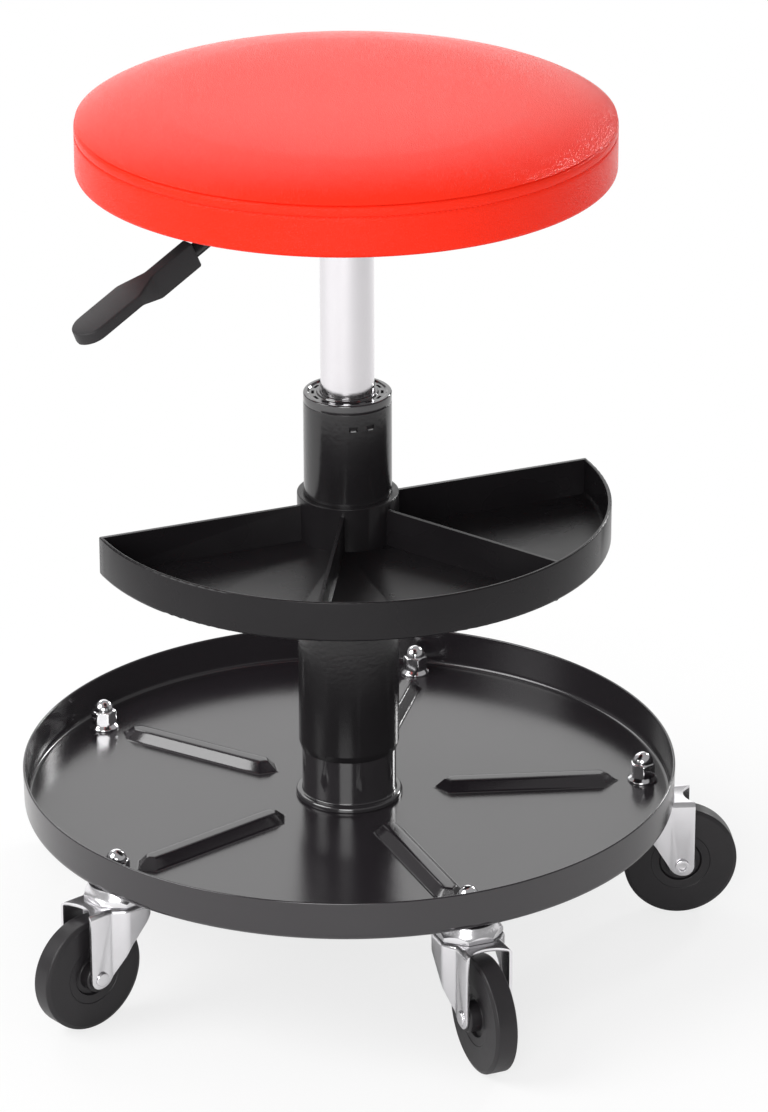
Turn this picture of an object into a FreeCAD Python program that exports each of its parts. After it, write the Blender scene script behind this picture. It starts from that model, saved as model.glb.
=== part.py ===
import FreeCAD, Part
import math
import os
import Sketcher

# Creeper seat: a round cushion on a gas spring, which stands in a column on a
# round pan with five casters. A half-moon tool tray turns on the column.
# Origin: on the column's axis, on the floor. +Z is up, and the person who
# looks at the seat from its front stands on the -Y side. Millimetres, degrees.

SIZES = (
    # Cushion
    ("seat_radius", 150.0, "cushion over its cover"),
    ("band_height", 28.8, "side band, from the underside to the seam"),
    ("seat_crown", 17.0, "rise of the top from the seam to the middle"),
    ("cover_thickness", 1.2, "coated fabric of the cover"),
    ("cover_turn", 14.0, "cover turned in under the board"),
    ("cover_round", 5.0, "lower edge of the side band"),
    ("seam_allowance", 8.0, "edge of the top panel turned down inside the band"),
    ("seam_edge_round", 0.9, "top panel's edge where it meets the seam"),
    ("soft_gap", 0.3, "room between soft pieces and what is beside them"),
    ("board_thickness", 12.0, "plywood board"),
    ("dust_thickness", 0.5, "woven cover under the board"),
    ("dust_margin", 12.5, "dust cover, from its edge to the cushion's side"),
    ("staple_length", 10.0, "staple across its legs"),
    ("staple_wire", 0.7, "staple wire, square"),
    ("staple_inset", 7.0, "staples, from the cushion's side"),
    ("staple_count", 24, "staples round the cover"),
    # Seat plate
    ("plate_side", 150.0, "square flange of the seat plate"),
    ("plate_round", 16.0, "corners of the flange"),
    ("plate_sheet", 2.0, "steel of the seat plate"),
    ("dish_radius", 50.0, "dish at the flange"),
    ("dish_draft", 4.0, "dish, how far its wall leans in"),
    ("dish_depth", 24.0, "flange's top face over the dish's underside"),
    ("dish_round", 5.0, "dish's lower edge"),
    ("bolt_pitch", 124.0, "plate bolts, side of their square"),
    ("bolt_radius", 3.0, "plate bolt's shank"),
    ("bolt_room", 0.35, "room for a bolt in its hole"),
    ("bolt_head_flats", 10.0, "plate bolt's head across flats"),
    ("bolt_head_height", 5.0, "plate bolt's head"),
    ("tnut_flange_radius", 9.5, "flange of the nut in the board"),
    ("tnut_flange", 1.2, "thickness of that flange"),
    ("tnut_barrel_radius", 4.4, "barrel of the nut in the board"),
    ("tnut_barrel", 8.8, "length of the barrel under the flange"),
    ("nut_room", 0.1, "room round the nut in the board"),
    ("socket_radius", 19.0, "tapered socket, outside"),
    ("socket_height", 25.0, "tapered socket"),
    ("socket_stand", 3.0, "socket's top above the dish floor"),
    # Lever
    ("lever_heading", 222.1, "lever's direction from the axis"),
    ("lever_drop", 9.0, "lever rod's centre under the flange"),
    ("lever_rod_radius", 4.0, "lever rod"),
    ("lever_inner", 5.0, "rod's inner end past the axis"),
    ("lever_bend_reach", 86.5, "bend of the rod, from the axis"),
    ("lever_bend_round", 20.0, "radius of that bend"),
    ("lever_droop", 22.9, "slope of the outer rod and the handle"),
    ("lever_tail", 45.0, "rod past the bend"),
    ("lever_slot_width", 16.0, "slot for the rod in the dish wall"),
    ("lever_slot_drop", 8.5, "slot's lower edge under the rod's centre"),
    ("pivot_reach", 34.0, "lever's pivot, from the axis"),
    ("pivot_radius", 2.5, "pivot pin"),
    ("pivot_room", 0.06, "running room round the pivot pin"),
    ("barrel_radius", 5.5, "cross tube of the rod on the pin"),
    ("barrel_width", 13.4, "length of the cross tube"),
    ("bracket_gap", 0.3, "room beside the cross tube"),
    ("bracket_sheet", 2.0, "bracket's steel"),
    ("bracket_length", 11.4, "bracket along the rod"),
    ("bracket_rise", 6.5, "bracket's cheeks above the pin"),
    ("handle_start", 27.8, "handle's inner end past the bend"),
    ("handle_length", 86.0, "handle"),
    ("handle_width", 19.8, "blade of the handle"),
    ("handle_blade", 7.2, "thickness of the blade"),
    ("handle_neck_width", 10.4, "handle where it holds the rod"),
    ("handle_neck_height", 15.6, "handle where it holds the rod, upright"),
    ("handle_neck_length", 30.0, "length of that part"),
    ("handle_taper_length", 22.0, "from the neck to the blade"),
    ("handle_tip_round", 9.7, "rounded end of the blade"),
    ("handle_edge_round", 1.6, "edge at the end of the blade"),
    # Gas spring
    ("cylinder_radius", 15.2, "bright cylinder"),
    ("cylinder_wall", 1.5, "wall of the cylinder"),
    ("cylinder_cap", 8.0, "closed top of the cylinder"),
    ("cylinder_reach", 231.0, "cylinder below the socket"),
    ("cone_draw", 0.8, "taper of the cylinder's top in its socket"),
    ("guide_length", 12.0, "rod guide in the cylinder's lower end"),
    ("button_radius", 4.0, "release button"),
    ("button_round", 3.6, "domed end of the button"),
    ("button_collar_radius", 8.0, "collar that keeps the button in"),
    ("button_collar", 4.0, "height of that collar"),
    ("button_room", 0.05, "running room round the button"),
    ("button_gap", 0.06, "button under the lever rod"),
    ("rod_radius", 5.0, "piston rod"),
    ("rod_below", 6.5, "piston rod below the column tube"),
    ("rod_length", 176.0, "piston rod"),
    ("rod_shoulder_radius", 9.0, "shoulder of the rod on the bumper"),
    ("rod_shoulder", 2.5, "height of the shoulder"),
    ("rod_room", 0.05, "running room round the rod"),
    ("piston_length", 12.0, "piston"),
    ("piston_tip", 4.0, "rod above the piston"),
    ("piston_room", 0.08, "running room round the piston"),
    ("bumper_radius", 12.5, "rubber bumper"),
    ("bumper_height", 8.4, "rubber bumper"),
    ("bumper_round", 2.0, "edges of the bumper"),
    ("race_radius", 12.0, "races of the thrust bearing"),
    ("race_thickness", 2.0, "races of the thrust bearing"),
    ("race_room", 0.6, "lower race clear of the rod"),
    ("ball_radius", 1.5, "balls of the thrust bearing"),
    ("ball_circle", 8.8, "circle of those balls"),
    ("ball_count", 9, "balls of the thrust bearing"),
    ("ball_gap", 0.03, "balls clear of the races"),
    ("clip_radius", 8.0, "clip at the rod's lower end"),
    ("clip_thickness", 1.3, "clip"),
    ("clip_groove", 0.8, "depth of the clip's groove in the rod"),
    ("clip_opening", 5.0, "mouth of the clip"),
    ("clip_gap", 0.3, "clip below the column's foot"),
    # Column
    ("column_radius", 25.0, "column tube"),
    ("column_wall", 1.5, "wall of the column tube"),
    ("column_length", 267.7, "column tube"),
    ("foot_thickness", 4.0, "plate in the column's lower end"),
    ("ring_height", 5.4, "guide ring above the tube"),
    ("ring_round", 1.0, "ring's outer edge"),
    ("ring_lead", 0.7, "ring's inner edge"),
    ("guide_barrel", 70.0, "guide inside the tube"),
    ("guide_room", 0.08, "running room round the cylinder"),
    ("slot_inner", 18.8, "slots in the ring, inner radius"),
    ("slot_width", 1.6, "slots in the ring, across"),
    ("slot_depth", 2.6, "slots in the ring"),
    ("slot_angle", 14.0, "slots in the ring, along"),
    ("slot_count", 14, "slots in the ring"),
    ("crimp_count", 2, "crimps below the tube's top"),
    ("crimp_drop", 8.7, "crimps, below the tube's top"),
    ("crimp_width", 5.4, "crimps"),
    ("crimp_height", 2.8, "crimps"),
    ("crimp_depth", 0.5, "crimps"),
    ("crimp_heading", 277.8, "first crimp's direction"),
    ("crimp_spacing", 23.3, "angle between the crimps"),
    ("sleeve_radius", 28.96, "spacer sleeve round the column"),
    ("sleeve_length", 130.0, "spacer sleeve"),
    ("sleeve_stand", 30.3, "sleeve's lower end above the pan floor"),
    ("sleeve_lead", 4.0, "tapered lower end of the sleeve"),
    ("sleeve_edge", 0.5, "flat left at that end"),
    ("sleeve_round", 0.5, "upper edge of the sleeve"),
    ("column_room", 0.1, "room between the column tube and what goes round it"),
    ("seat_drop", 87.4, "guide ring to the socket, as the seat stands"),
    # Tray
    ("tray_radius", 149.5, "tray round the column's axis"),
    ("tray_depth", 23.5, "tray"),
    ("tray_wall", 2.2, "walls and floor of the tray"),
    ("tray_back", 1.5, "back face of the tray behind the axis"),
    ("tray_heading", 22.77, "direction of the tray's back wall"),
    ("tray_round", 2.4, "lower edge of the tray"),
    ("tray_rim_round", 0.8, "rim of the tray"),
    ("tray_gap", 0.3, "tray above the sleeve"),
    ("collar_radius", 28.95, "collar of the tray"),
    ("collar_rise", 4.4, "collar above the rim"),
    ("collar_round", 0.5, "upper edge of the collar"),
    ("divider_thickness", 2.0, "dividers in the tray"),
    ("divider_spread", 28.5, "dividers, to each side of the tray's middle"),
    # Pan
    ("pan_radius", 188.6, "pan at its rim"),
    ("pan_lean", 0.5, "pan wall, how far it leans out"),
    ("pan_depth", 23.5, "pan"),
    ("pan_sheet", 1.5, "steel of the pan"),
    ("pan_round", 4.0, "pan's lower edge"),
    ("pan_rim_round", 0.6, "edge of the rim"),
    ("rib_inner", 49.8, "ribs of the pan start here"),
    ("rib_inset", 32.5, "ribs of the pan end this far inside its rim"),
    ("rib_width", 16.5, "ribs of the pan"),
    ("rib_point", 7.5, "pointed end of a rib"),
    ("rib_height", 5.8, "ribs above the pan floor"),
    ("rib_slope", 39.0, "side of a rib, from upright"),
    ("tube_wall", 2.1, "wall of the base tube"),
    ("tube_below", 24.8, "base tube below the pan"),
    ("tube_rise", 120.7, "base tube above the pan floor"),
    ("tube_lip", 2.5, "inner lip that carries the column"),
    ("tube_lip_width", 5.1, "width of that lip"),
    ("bead_width", 3.65, "bead round the tube on the pan"),
    ("bead_height", 3.4, "bead round the tube on the pan"),
    ("bead_round", 1.9, "edge of the bead"),
    ("hub_radius", 60.0, "stiffening plate under the pan"),
    ("hub_thickness", 3.0, "stiffening plate under the pan"),
    # Casters
    ("caster_count", 5, "casters"),
    ("caster_heading", 4.69, "direction of the first caster"),
    ("caster_inset", 17.2, "caster stems, inside the pan's rim"),
    ("caster_trail", 22.6, "wheel's axle outside its stem"),
    ("wheel_radius", 33.3, "wheel"),
    ("wheel_width", 13.2, "wheel at its tread"),
    ("wheel_round", 1.4, "edges of the tread"),
    ("boss_radius", 8.6, "boss of the wheel"),
    ("boss_width", 23.2, "boss of the wheel"),
    ("boss_round", 0.6, "edge of the boss"),
    ("recess_radius", 12.4, "recess round the boss"),
    ("recess_depth", 2.6, "recess round the boss"),
    ("step_radius", 17.5, "shallow step in the wheel's face"),
    ("step_depth", 0.4, "shallow step in the wheel's face"),
    ("bush_radius", 6.0, "bush in the wheel"),
    ("bush_room", 0.06, "running room round the bush"),
    ("axle_radius", 3.0, "wheel's rivet"),
    ("rivet_head_radius", 4.2, "heads of the rivet"),
    ("rivet_head", 1.15, "heads of the rivet"),
    ("rivet_round", 1.0, "domed head's edge"),
    ("rivet_hollow_radius", 2.3, "hollow in the rolled head"),
    ("rivet_hollow", 2.0, "depth of that hollow"),
    ("fork_width", 27.7, "fork across its legs"),
    ("fork_crown_width", 38.4, "fork across its top plate"),
    ("fork_sheet", 1.9, "steel of the fork"),
    ("fork_rise", 40.7, "fork's top above the axle"),
    ("fork_front", 7.0, "leg outside the axle"),
    ("fork_below", 5.8, "leg below the axle"),
    ("fork_toe", 6.0, "rounded end of the leg, outer side"),
    ("fork_heel", 9.0, "rounded end of the leg, inner side"),
    ("fork_heel_reach", 4.6, "corner of that end inside the axle"),
    ("fork_crease", 7.6, "crease of the leg inside the axle"),
    ("fork_crease_round", 2.0, "outer radius of the crease"),
    ("fork_crown_front", 7.5, "widest part of the top plate outside the stem"),
    ("fork_crown_back", 8.0, "widest part of the top plate inside the stem"),
    ("fork_back", 18.0, "back of the top plate inside the stem"),
    ("fork_back_width", 18.0, "back of the top plate, straight part"),
    ("fork_leg_back", 9.5, "leg's top inside the stem"),
    ("fork_leg_drop", 8.0, "end of the leg's slanted edge below the top"),
    ("fork_elbow", 6.0, "bend of that edge outside the stem"),
    ("fork_elbow_drop", 24.5, "bend of that edge below the top"),
    ("fork_elbow_round", 20.0, "radius of that bend"),
    ("fork_mouth", 5.5, "depth of the top plate's hollow front edge"),
    ("fork_bend", 3.0, "bend between the top plate and the legs"),
    ("fork_shoulder", 6.0, "corner where the leg widens to the crown"),
    ("fork_corner", 7.0, "corners of the top plate in plan"),
    ("kingpin_radius", 5.95, "pin that holds the fork"),
    ("kingpin_room", 0.05, "running room round that pin"),
    ("kingpin_head_radius", 9.0, "head of the pin under the fork"),
    ("kingpin_head", 1.6, "head of the pin under the fork"),
    ("kingpin_round", 0.9, "edge of that head"),
    ("swivel_gap", 0.3, "room above and below the fork's top plate"),
    ("cup_flats", 36.0, "eight-sided cup across flats"),
    ("cup_height", 8.5, "eight-sided cup"),
    ("cup_corner_height", 2.0, "sides of the cup at its corners"),
    ("cup_side_height", 3.6, "sides of the cup at their middles"),
    ("cup_lean", 1.7, "cup above its sides, how far it leans in"),
    ("cup_race_inner", 9.2, "ball race in the cup, inner radius"),
    ("cup_race_width", 4.2, "ball race in the cup, across"),
    ("cup_race_depth", 3.7, "ball race in the cup"),
    ("swivel_ball_radius", 1.85, "balls of the cup"),
    ("swivel_ball_gap", 0.05, "balls above the fork"),
    ("swivel_ball_count", 10, "balls in each cup"),
    ("stem_radius", 4.0, "threaded stem"),
    ("stem_above", 12.4, "stem above the pan floor"),
    ("nut_flange_radius", 8.75, "cap nut's flange"),
    ("nut_flange", 1.3, "rim of the flange"),
    ("nut_flange_rise", 3.0, "flange up to the flats"),
    ("nut_flats", 13.0, "cap nut across flats"),
    ("nut_hex_height", 11.2, "cap nut up to the dome"),
    ("nut_height", 17.65, "cap nut"),
    ("nut_dome_radius", 5.9, "dome of the cap nut"),
    ("nut_dome_round", 5.2, "edge of the dome"),
    ("nut_bore_depth", 12.8, "thread in the cap nut"),
    # Cuts
    ("overrun", 5.0, "how far every cut runs past the solid"),
)

# The cushion's top as shares of the seam's radius and of the crown, with the
# roundings as shares of the seam's radius.
CROWN_CORNER_SHARES = ((0.535, 1.0), (0.896, 0.56))
CROWN_ROUND_SHARES = (2.6, 0.42)

# Which side of each wheel the rivet's domed head is on.
RIVET_SIDES = (1, 1, 1, 1, -1)

# Direction of the tray's middle before the tray is turned.
TRAY_MIDDLE = -90

FULL_TURN = 360
TINY = 1e-6

doc = FreeCAD.newDocument("creeper_seat")


class Size:
    """A value with the expression that gives it from the sheet."""

    def __init__(self, value, text):
        self.value = value
        self.text = text

    def __add__(self, other):
        return joined(self, "+", other, value_of(self) + value_of(other))

    def __radd__(self, other):
        return joined(other, "+", self, value_of(other) + value_of(self))

    def __sub__(self, other):
        return joined(self, "-", other, value_of(self) - value_of(other))

    def __rsub__(self, other):
        return joined(other, "-", self, value_of(other) - value_of(self))

    def __mul__(self, other):
        return joined(self, "*", other, value_of(self) * value_of(other))

    def __rmul__(self, other):
        return joined(other, "*", self, value_of(other) * value_of(self))

    def __truediv__(self, other):
        return joined(self, "/", other, value_of(self) / value_of(other))

    def __rtruediv__(self, other):
        return joined(other, "/", self, value_of(other) / value_of(self))

    def __neg__(self):
        return joined(0, "-", self, -self.value)


def value_of(size):
    return size.value if isinstance(size, Size) else size


def text_of(size):
    return size.text if isinstance(size, Size) else repr(size)


def joined(left, sign, right, value):
    return Size(value, "(%s %s %s)" % (text_of(left), sign, text_of(right)))


def cosine(angle):
    return Size(math.cos(math.radians(value_of(angle))), "cos(%s)" % text_of(angle))


def sine(angle):
    return Size(math.sin(math.radians(value_of(angle))), "sin(%s)" % text_of(angle))


class Sheet:
    """The driving dimensions, one row each, read by their names."""

    def __init__(self, rows):
        self.object = doc.addObject("Spreadsheet::Sheet", "Sizes")
        self.values = {}
        for row, (name, value, note) in enumerate(rows, 1):
            self.object.set("A%d" % row, name)
            self.object.set("B%d" % row, str(value))
            self.object.set("C%d" % row, note)
            self.object.setAlias("B%d" % row, name)
        doc.recompute()
        for name, value, note in rows:
            self.values[name] = float(getattr(self.object, name))

    def __getattr__(self, name):
        return Size(self.values[name], "Sizes." + name)

    def count(self, name):
        return int(self.values[name])


s = Sheet(SIZES)

# Heights, from the floor up.
fork_top = s.wheel_radius + s.fork_rise
cup_low = fork_top + s.swivel_gap
pan_low = cup_low + s.cup_height
pan_floor = pan_low + s.pan_sheet
pan_rim = pan_low + s.pan_depth
tube_low = pan_low - s.tube_below
tube_top = pan_floor + s.tube_rise
column_low = tube_low + s.tube_lip
column_top = column_low + s.column_length
ring_top = column_top + s.ring_height
sleeve_low = pan_floor + s.sleeve_stand
sleeve_top = sleeve_low + s.sleeve_length
tray_low = sleeve_top + s.tray_gap
tray_floor = tray_low + s.tray_wall
tray_rim = tray_low + s.tray_depth
collar_top = tray_rim + s.collar_rise
foot_top = column_low + s.foot_thickness
lower_race_top = foot_top + s.race_thickness
upper_race_low = lower_race_top + 2 * s.ball_radius + 2 * s.ball_gap
upper_race_top = upper_race_low + s.race_thickness
bumper_top = upper_race_top + s.bumper_height
rod_low = column_low - s.rod_below
rod_top = rod_low + s.rod_length
clip_top = column_low - s.clip_gap
socket_low = ring_top + s.seat_drop
socket_top = socket_low + s.socket_height
dish_floor = socket_top - s.socket_stand
dish_low = dish_floor - s.plate_sheet
plate_top = dish_low + s.dish_depth
plate_low = plate_top - s.plate_sheet
lever_height = plate_low - s.lever_drop
dust_low = plate_top + s.soft_gap
dust_top = dust_low + s.dust_thickness
band_low = dust_top + s.soft_gap
board_low = band_low + s.cover_thickness + s.soft_gap
board_top = board_low + s.board_thickness
seam = band_low + s.band_height
cylinder_low = socket_low - s.cylinder_reach

# Radii that several pieces share.
column_bore = s.column_radius - s.column_wall
sleeve_bore = s.column_radius + s.column_room
tube_radius = sleeve_bore + s.tube_wall
cylinder_bore = s.cylinder_radius - s.cylinder_wall
band_bore = s.seat_radius - s.cover_thickness
board_radius = band_bore - s.soft_gap
foam_radius = board_radius - s.cover_thickness - s.soft_gap
fork_inside = s.fork_width - 2 * s.fork_sheet
caster_circle = s.pan_radius - s.caster_inset

sub_parts = []


def kept(thing, label):
    """Name a sub-part and keep it for the end."""
    thing.Label = label
    sub_parts.append(thing)
    return thing


def bind(thing, name, size):
    """Set a property, and tie it to the sheet if it comes from there."""
    if isinstance(size, Size):
        thing.setExpression(name, size.text)
    else:
        setattr(thing, name, size)


def place(thing, x=0, y=0, z=0, turn=0):
    """Put a thing at a place, turned about the upright axis."""
    spin = FreeCAD.Rotation(FreeCAD.Vector(0, 0, 1), value_of(turn))
    thing.Placement = FreeCAD.Placement(FreeCAD.Vector(0, 0, 0), spin)
    bound = (("Base.x", x), ("Base.y", y), ("Base.z", z), ("Rotation.Angle", turn))
    for name, size in bound:
        if isinstance(size, Size):
            thing.setExpression(".Placement." + name, size.text)
    return thing


def on_circle(radius, heading):
    return radius * cosine(heading), radius * sine(heading)


def new_body(name):
    return doc.addObject("PartDesign::Body", name)


def origin_part(body, role):
    return [part for part in body.Origin.OriginFeatures if part.Role == role][0]


def new_sketch(body, name, plane, height=0):
    """A sketch on one of the body's own planes, or a height above it."""
    sketch = body.newObject("Sketcher::SketchObject", name)
    sketch.AttachmentSupport = [(origin_part(body, plane), "")]
    sketch.MapMode = "FlatFace"
    if isinstance(height, Size):
        sketch.setExpression(".AttachmentOffset.Base.z", height.text)
    return sketch


def fixed(sketch, index, end, x, y):
    """Fix one end of a line, or a point, at sizes from the sketch's origin."""
    for kind, size in (("DistanceX", x), ("DistanceY", y)):
        rule = Sketcher.Constraint(kind, -1, 1, index, end, float(value_of(size)))
        number = sketch.addConstraint(rule)
        if isinstance(size, Size):
            sketch.setExpression("Constraints[%d]" % number, size.text)


def rounded(before, corner, after, radius):
    """Where a rounding leaves both sides of a corner, and its middle point."""
    to_before = (before - corner).normalize()
    to_after = (after - corner).normalize()
    half = math.acos(max(-1, min(1, to_before.dot(to_after)))) / 2
    start = corner + to_before * (radius / math.tan(half))
    end = corner + to_after * (radius / math.tan(half))
    centre = corner + (to_before + to_after).normalize() * (radius / math.sin(half))
    middle = centre + (corner - centre).normalize() * radius
    return start, middle, end


def outline(sketch, corners, closed=True):
    """Draw straight sides through corners, each (x, y) or (x, y, rounding)."""
    count = len(corners)
    points = [FreeCAD.Vector(value_of(c[0]), value_of(c[1]), 0) for c in corners]
    is_round = [len(c) > 2 for c in corners]
    arcs = {}
    for i in range(count):
        if is_round[i]:
            radius = value_of(corners[i][2])
            arcs[i] = rounded(points[i - 1], points[i], points[(i + 1) % count], radius)
    sides = []
    for i in range(count if closed else count - 1):
        j = (i + 1) % count
        start = arcs[i][2] if is_round[i] else points[i]
        end = arcs[j][0] if is_round[j] else points[j]
        sides.append(sketch.addGeometry(Part.LineSegment(start, end), False))
    for i in range(count):
        if not closed and i == 0:
            fixed(sketch, sides[0], 1, corners[0][0], corners[0][1])
            continue
        if not closed and i == count - 1:
            fixed(sketch, sides[-1], 2, corners[i][0], corners[i][1])
            continue
        before, after = sides[i - 1], sides[i]
        if not is_round[i]:
            sketch.addConstraint(Sketcher.Constraint("Coincident", before, 2, after, 1))
            fixed(sketch, after, 1, corners[i][0], corners[i][1])
            continue
        start, middle, end = arcs[i]
        first, last = 1, 2
        if (middle - start).cross(end - middle).z < 0:
            start, end = end, start
            first, last = 2, 1
        arc = sketch.addGeometry(Part.Arc(start, middle, end), False)
        mark = sketch.addGeometry(Part.Point(points[i]), True)
        sketch.addConstraint(Sketcher.Constraint("Tangent", before, 2, arc, first))
        sketch.addConstraint(Sketcher.Constraint("Tangent", after, 1, arc, last))
        sketch.addConstraint(Sketcher.Constraint("PointOnObject", mark, 1, before))
        sketch.addConstraint(Sketcher.Constraint("PointOnObject", mark, 1, after))
        size = corners[i][2]
        rule = Sketcher.Constraint("Radius", arc, float(value_of(size)))
        number = sketch.addConstraint(rule)
        if isinstance(size, Size):
            sketch.setExpression("Constraints[%d]" % number, size.text)
        fixed(sketch, mark, 1, corners[i][0], corners[i][1])


def circle(sketch, x, y, radius):
    centre = FreeCAD.Vector(value_of(x), value_of(y), 0)
    round_line = Part.Circle(centre, FreeCAD.Vector(0, 0, 1), value_of(radius))
    index = sketch.addGeometry(round_line, False)
    fixed(sketch, index, 3, x, y)
    rule = Sketcher.Constraint("Radius", index, float(value_of(radius)))
    number = sketch.addConstraint(rule)
    sketch.setExpression("Constraints[%d]" % number, text_of(radius))


def feature(body, kind, name, sketch):
    made = body.newObject("PartDesign::" + kind, name)
    made.Profile = sketch
    return made


def revolved(body, name, corners, plane="XZ_Plane", axis="Z_Axis"):
    """Turn an outline of (radius, height) corners about the body's axis."""
    sketch = new_sketch(body, name + "_outline", plane)
    outline(sketch, corners)
    made = feature(body, "Revolution", name, sketch)
    made.ReferenceAxis = (origin_part(body, axis), [""])
    made.Angle = FULL_TURN
    return made


def grooved(body, name, corners, angle=FULL_TURN):
    """Cut an outline of (radius, height) corners about the upright axis."""
    sketch = new_sketch(body, name + "_outline", "XZ_Plane")
    outline(sketch, corners)
    made = feature(body, "Groove", name, sketch)
    made.ReferenceAxis = (origin_part(body, "Z_Axis"), [""])
    bind(made, "Angle", angle)
    return made


def turned(label, corners, plane="XZ_Plane", axis="Z_Axis"):
    """A sub-part that is one turned shape."""
    body = new_body(label)
    revolved(body, label + "_turned", corners, plane, axis)
    return kept(body, label)


def padded(body, name, sketch, length, both_sides=False):
    made = feature(body, "Pad", name, sketch)
    if both_sides:
        made.SideType = "Symmetric"
    bind(made, "Length", length)
    return made


def pocketed(body, name, sketch, length, both_sides=False, forward=False):
    """Cut a sketch out of the body: back from its plane, forward, or both."""
    made = feature(body, "Pocket", name, sketch)
    if both_sides:
        made.SideType = "Symmetric"
    made.Reversed = forward
    bind(made, "Length", length)
    return made


def repeated(body, name, originals, count):
    """Repeat features evenly about the body's upright axis."""
    made = body.newObject("PartDesign::PolarPattern", name)
    made.Originals = originals
    made.Axis = (origin_part(body, "Z_Axis"), [""])
    made.Angle = FULL_TURN
    bind(made, "Occurrences", count)
    body.Tip = made
    return made


def ring(inner, outer, low, high):
    """Corners of a plain ring."""
    return [(inner, low), (outer, low), (outer, high), (inner, high)]


def rectangle(left, low, right, high):
    return [(left, low), (right, low), (right, high), (left, high)]


def hexagon(flats):
    """Corners of a hexagon with a corner on each side along X."""
    reach = flats / math.sqrt(3)
    corners = []
    for i in range(6):
        turn = math.radians(60 * i)
        corners.append((reach * math.cos(turn), reach * math.sin(turn)))
    return corners


def octagon(flats):
    """Corners of an octagon with a side across X."""
    turn = FULL_TURN / 8
    reach = flats / 2 / cosine(turn / 2)
    return [on_circle(reach, (i + 0.5) * turn) for i in range(8)]


def group(label, members):
    """Several solids that share one node."""
    made = doc.addObject("Part::Compound", label)
    made.Links = members
    return kept(made, label)


def crown_corners(radius, lowered):
    """The cushion's top from the middle to its edge, lowered by so much."""
    wide, narrow = CROWN_CORNER_SHARES
    wide_round, narrow_round = CROWN_ROUND_SHARES
    top = seam + s.seat_crown - lowered
    return [
        (0, top),
        (radius * wide[0], seam + s.seat_crown * wide[1] - lowered, radius * wide_round),
        (radius * narrow[0], seam + s.seat_crown * narrow[1] - lowered, radius * narrow_round),
    ]


def seat_top_panel():
    """Top of the cover, with its edge turned down inside the side band."""
    edge = s.seat_radius - s.soft_gap
    inside = board_radius - s.cover_thickness
    outer = crown_corners(edge, 0)
    inner = crown_corners(inside, s.cover_thickness)
    corners = outer + [
        (edge, seam + s.seam_edge_round),
        (edge, seam),
        (board_radius, seam),
        (board_radius, seam - s.seam_allowance),
        (inside, seam - s.seam_allowance),
        (inside, seam - s.cover_thickness),
    ]
    turned("seat_top_panel", corners + inner[::-1])


def seat_side_band():
    """Side of the cover, turned in under the board at its lower edge."""
    top = seam - s.soft_gap
    turned_in = s.seat_radius - s.cover_turn
    fold_top = band_low + s.cover_thickness
    turned("seat_side_band", [
        (turned_in, band_low),
        (s.seat_radius, band_low, s.cover_round),
        (s.seat_radius, top),
        (band_bore, top),
        (band_bore, fold_top, s.cover_round - s.cover_thickness),
        (turned_in, fold_top),
    ])


def seat_foam():
    """Foam on the board, crowned like the top panel over it."""
    low = board_top + s.soft_gap
    shoulder = seam - s.cover_thickness - s.soft_gap
    crown = crown_corners(foam_radius, s.cover_thickness + s.soft_gap)
    turned("seat_foam", [(0, low), (foam_radius, low), (foam_radius, shoulder)] + crown[::-1])


def square_corners():
    """Where the four plate bolts stand."""
    half = s.bolt_pitch / 2
    return [(half, half), (-half, half), (-half, -half), (half, -half)]


def seat_board():
    """Plywood board with four holes for the nuts."""
    body = new_body("seat_board")
    edge_round = s.cover_round - s.cover_thickness - s.soft_gap
    revolved(body, "board_disc", [
        (0, board_low),
        (board_radius, board_low, edge_round),
        (board_radius, board_top),
        (0, board_top),
    ])
    holes = new_sketch(body, "board_holes", "XY_Plane", board_top)
    seats = new_sketch(body, "board_seats", "XY_Plane", board_top)
    for x, y in square_corners():
        circle(holes, x, y, s.tnut_barrel_radius + s.nut_room)
        circle(seats, x, y, s.tnut_flange_radius + s.nut_room)
    pocketed(body, "board_bolt_holes", holes, s.board_thickness + s.overrun)
    pocketed(body, "board_nut_seats", seats, s.tnut_flange)
    kept(place(body, turn=s.lever_heading), "seat_board")


def dust_cover():
    """Thin cover under the board."""
    body = new_body("dust_cover")
    sketch = new_sketch(body, "dust_outline", "XY_Plane", dust_low)
    circle(sketch, 0, 0, s.seat_radius - s.dust_margin - s.soft_gap)
    for x, y in square_corners():
        circle(sketch, x, y, s.bolt_radius + s.bolt_room)
    padded(body, "dust_sheet", sketch, s.dust_thickness)
    kept(place(body, turn=s.lever_heading), "dust_cover")


def cover_staples():
    """Backs of the staples that hold the turned-in cover."""
    members = []
    count = s.count("staple_count")
    for number in range(count):
        staple = doc.addObject("Part::Box", "staple_%d" % (number + 1))
        bind(staple, "Length", s.staple_wire)
        bind(staple, "Width", s.staple_length)
        bind(staple, "Height", s.staple_wire)
        heading = number * FULL_TURN / s.staple_count
        radius = s.seat_radius - s.staple_inset
        along = s.staple_length / 2
        x, y = on_circle(radius, heading)
        place(staple, x + along * sine(heading), y - along * cosine(heading),
              band_low - s.soft_gap - s.staple_wire, heading)
        members.append(staple)
    group("cover_staples", members)


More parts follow.
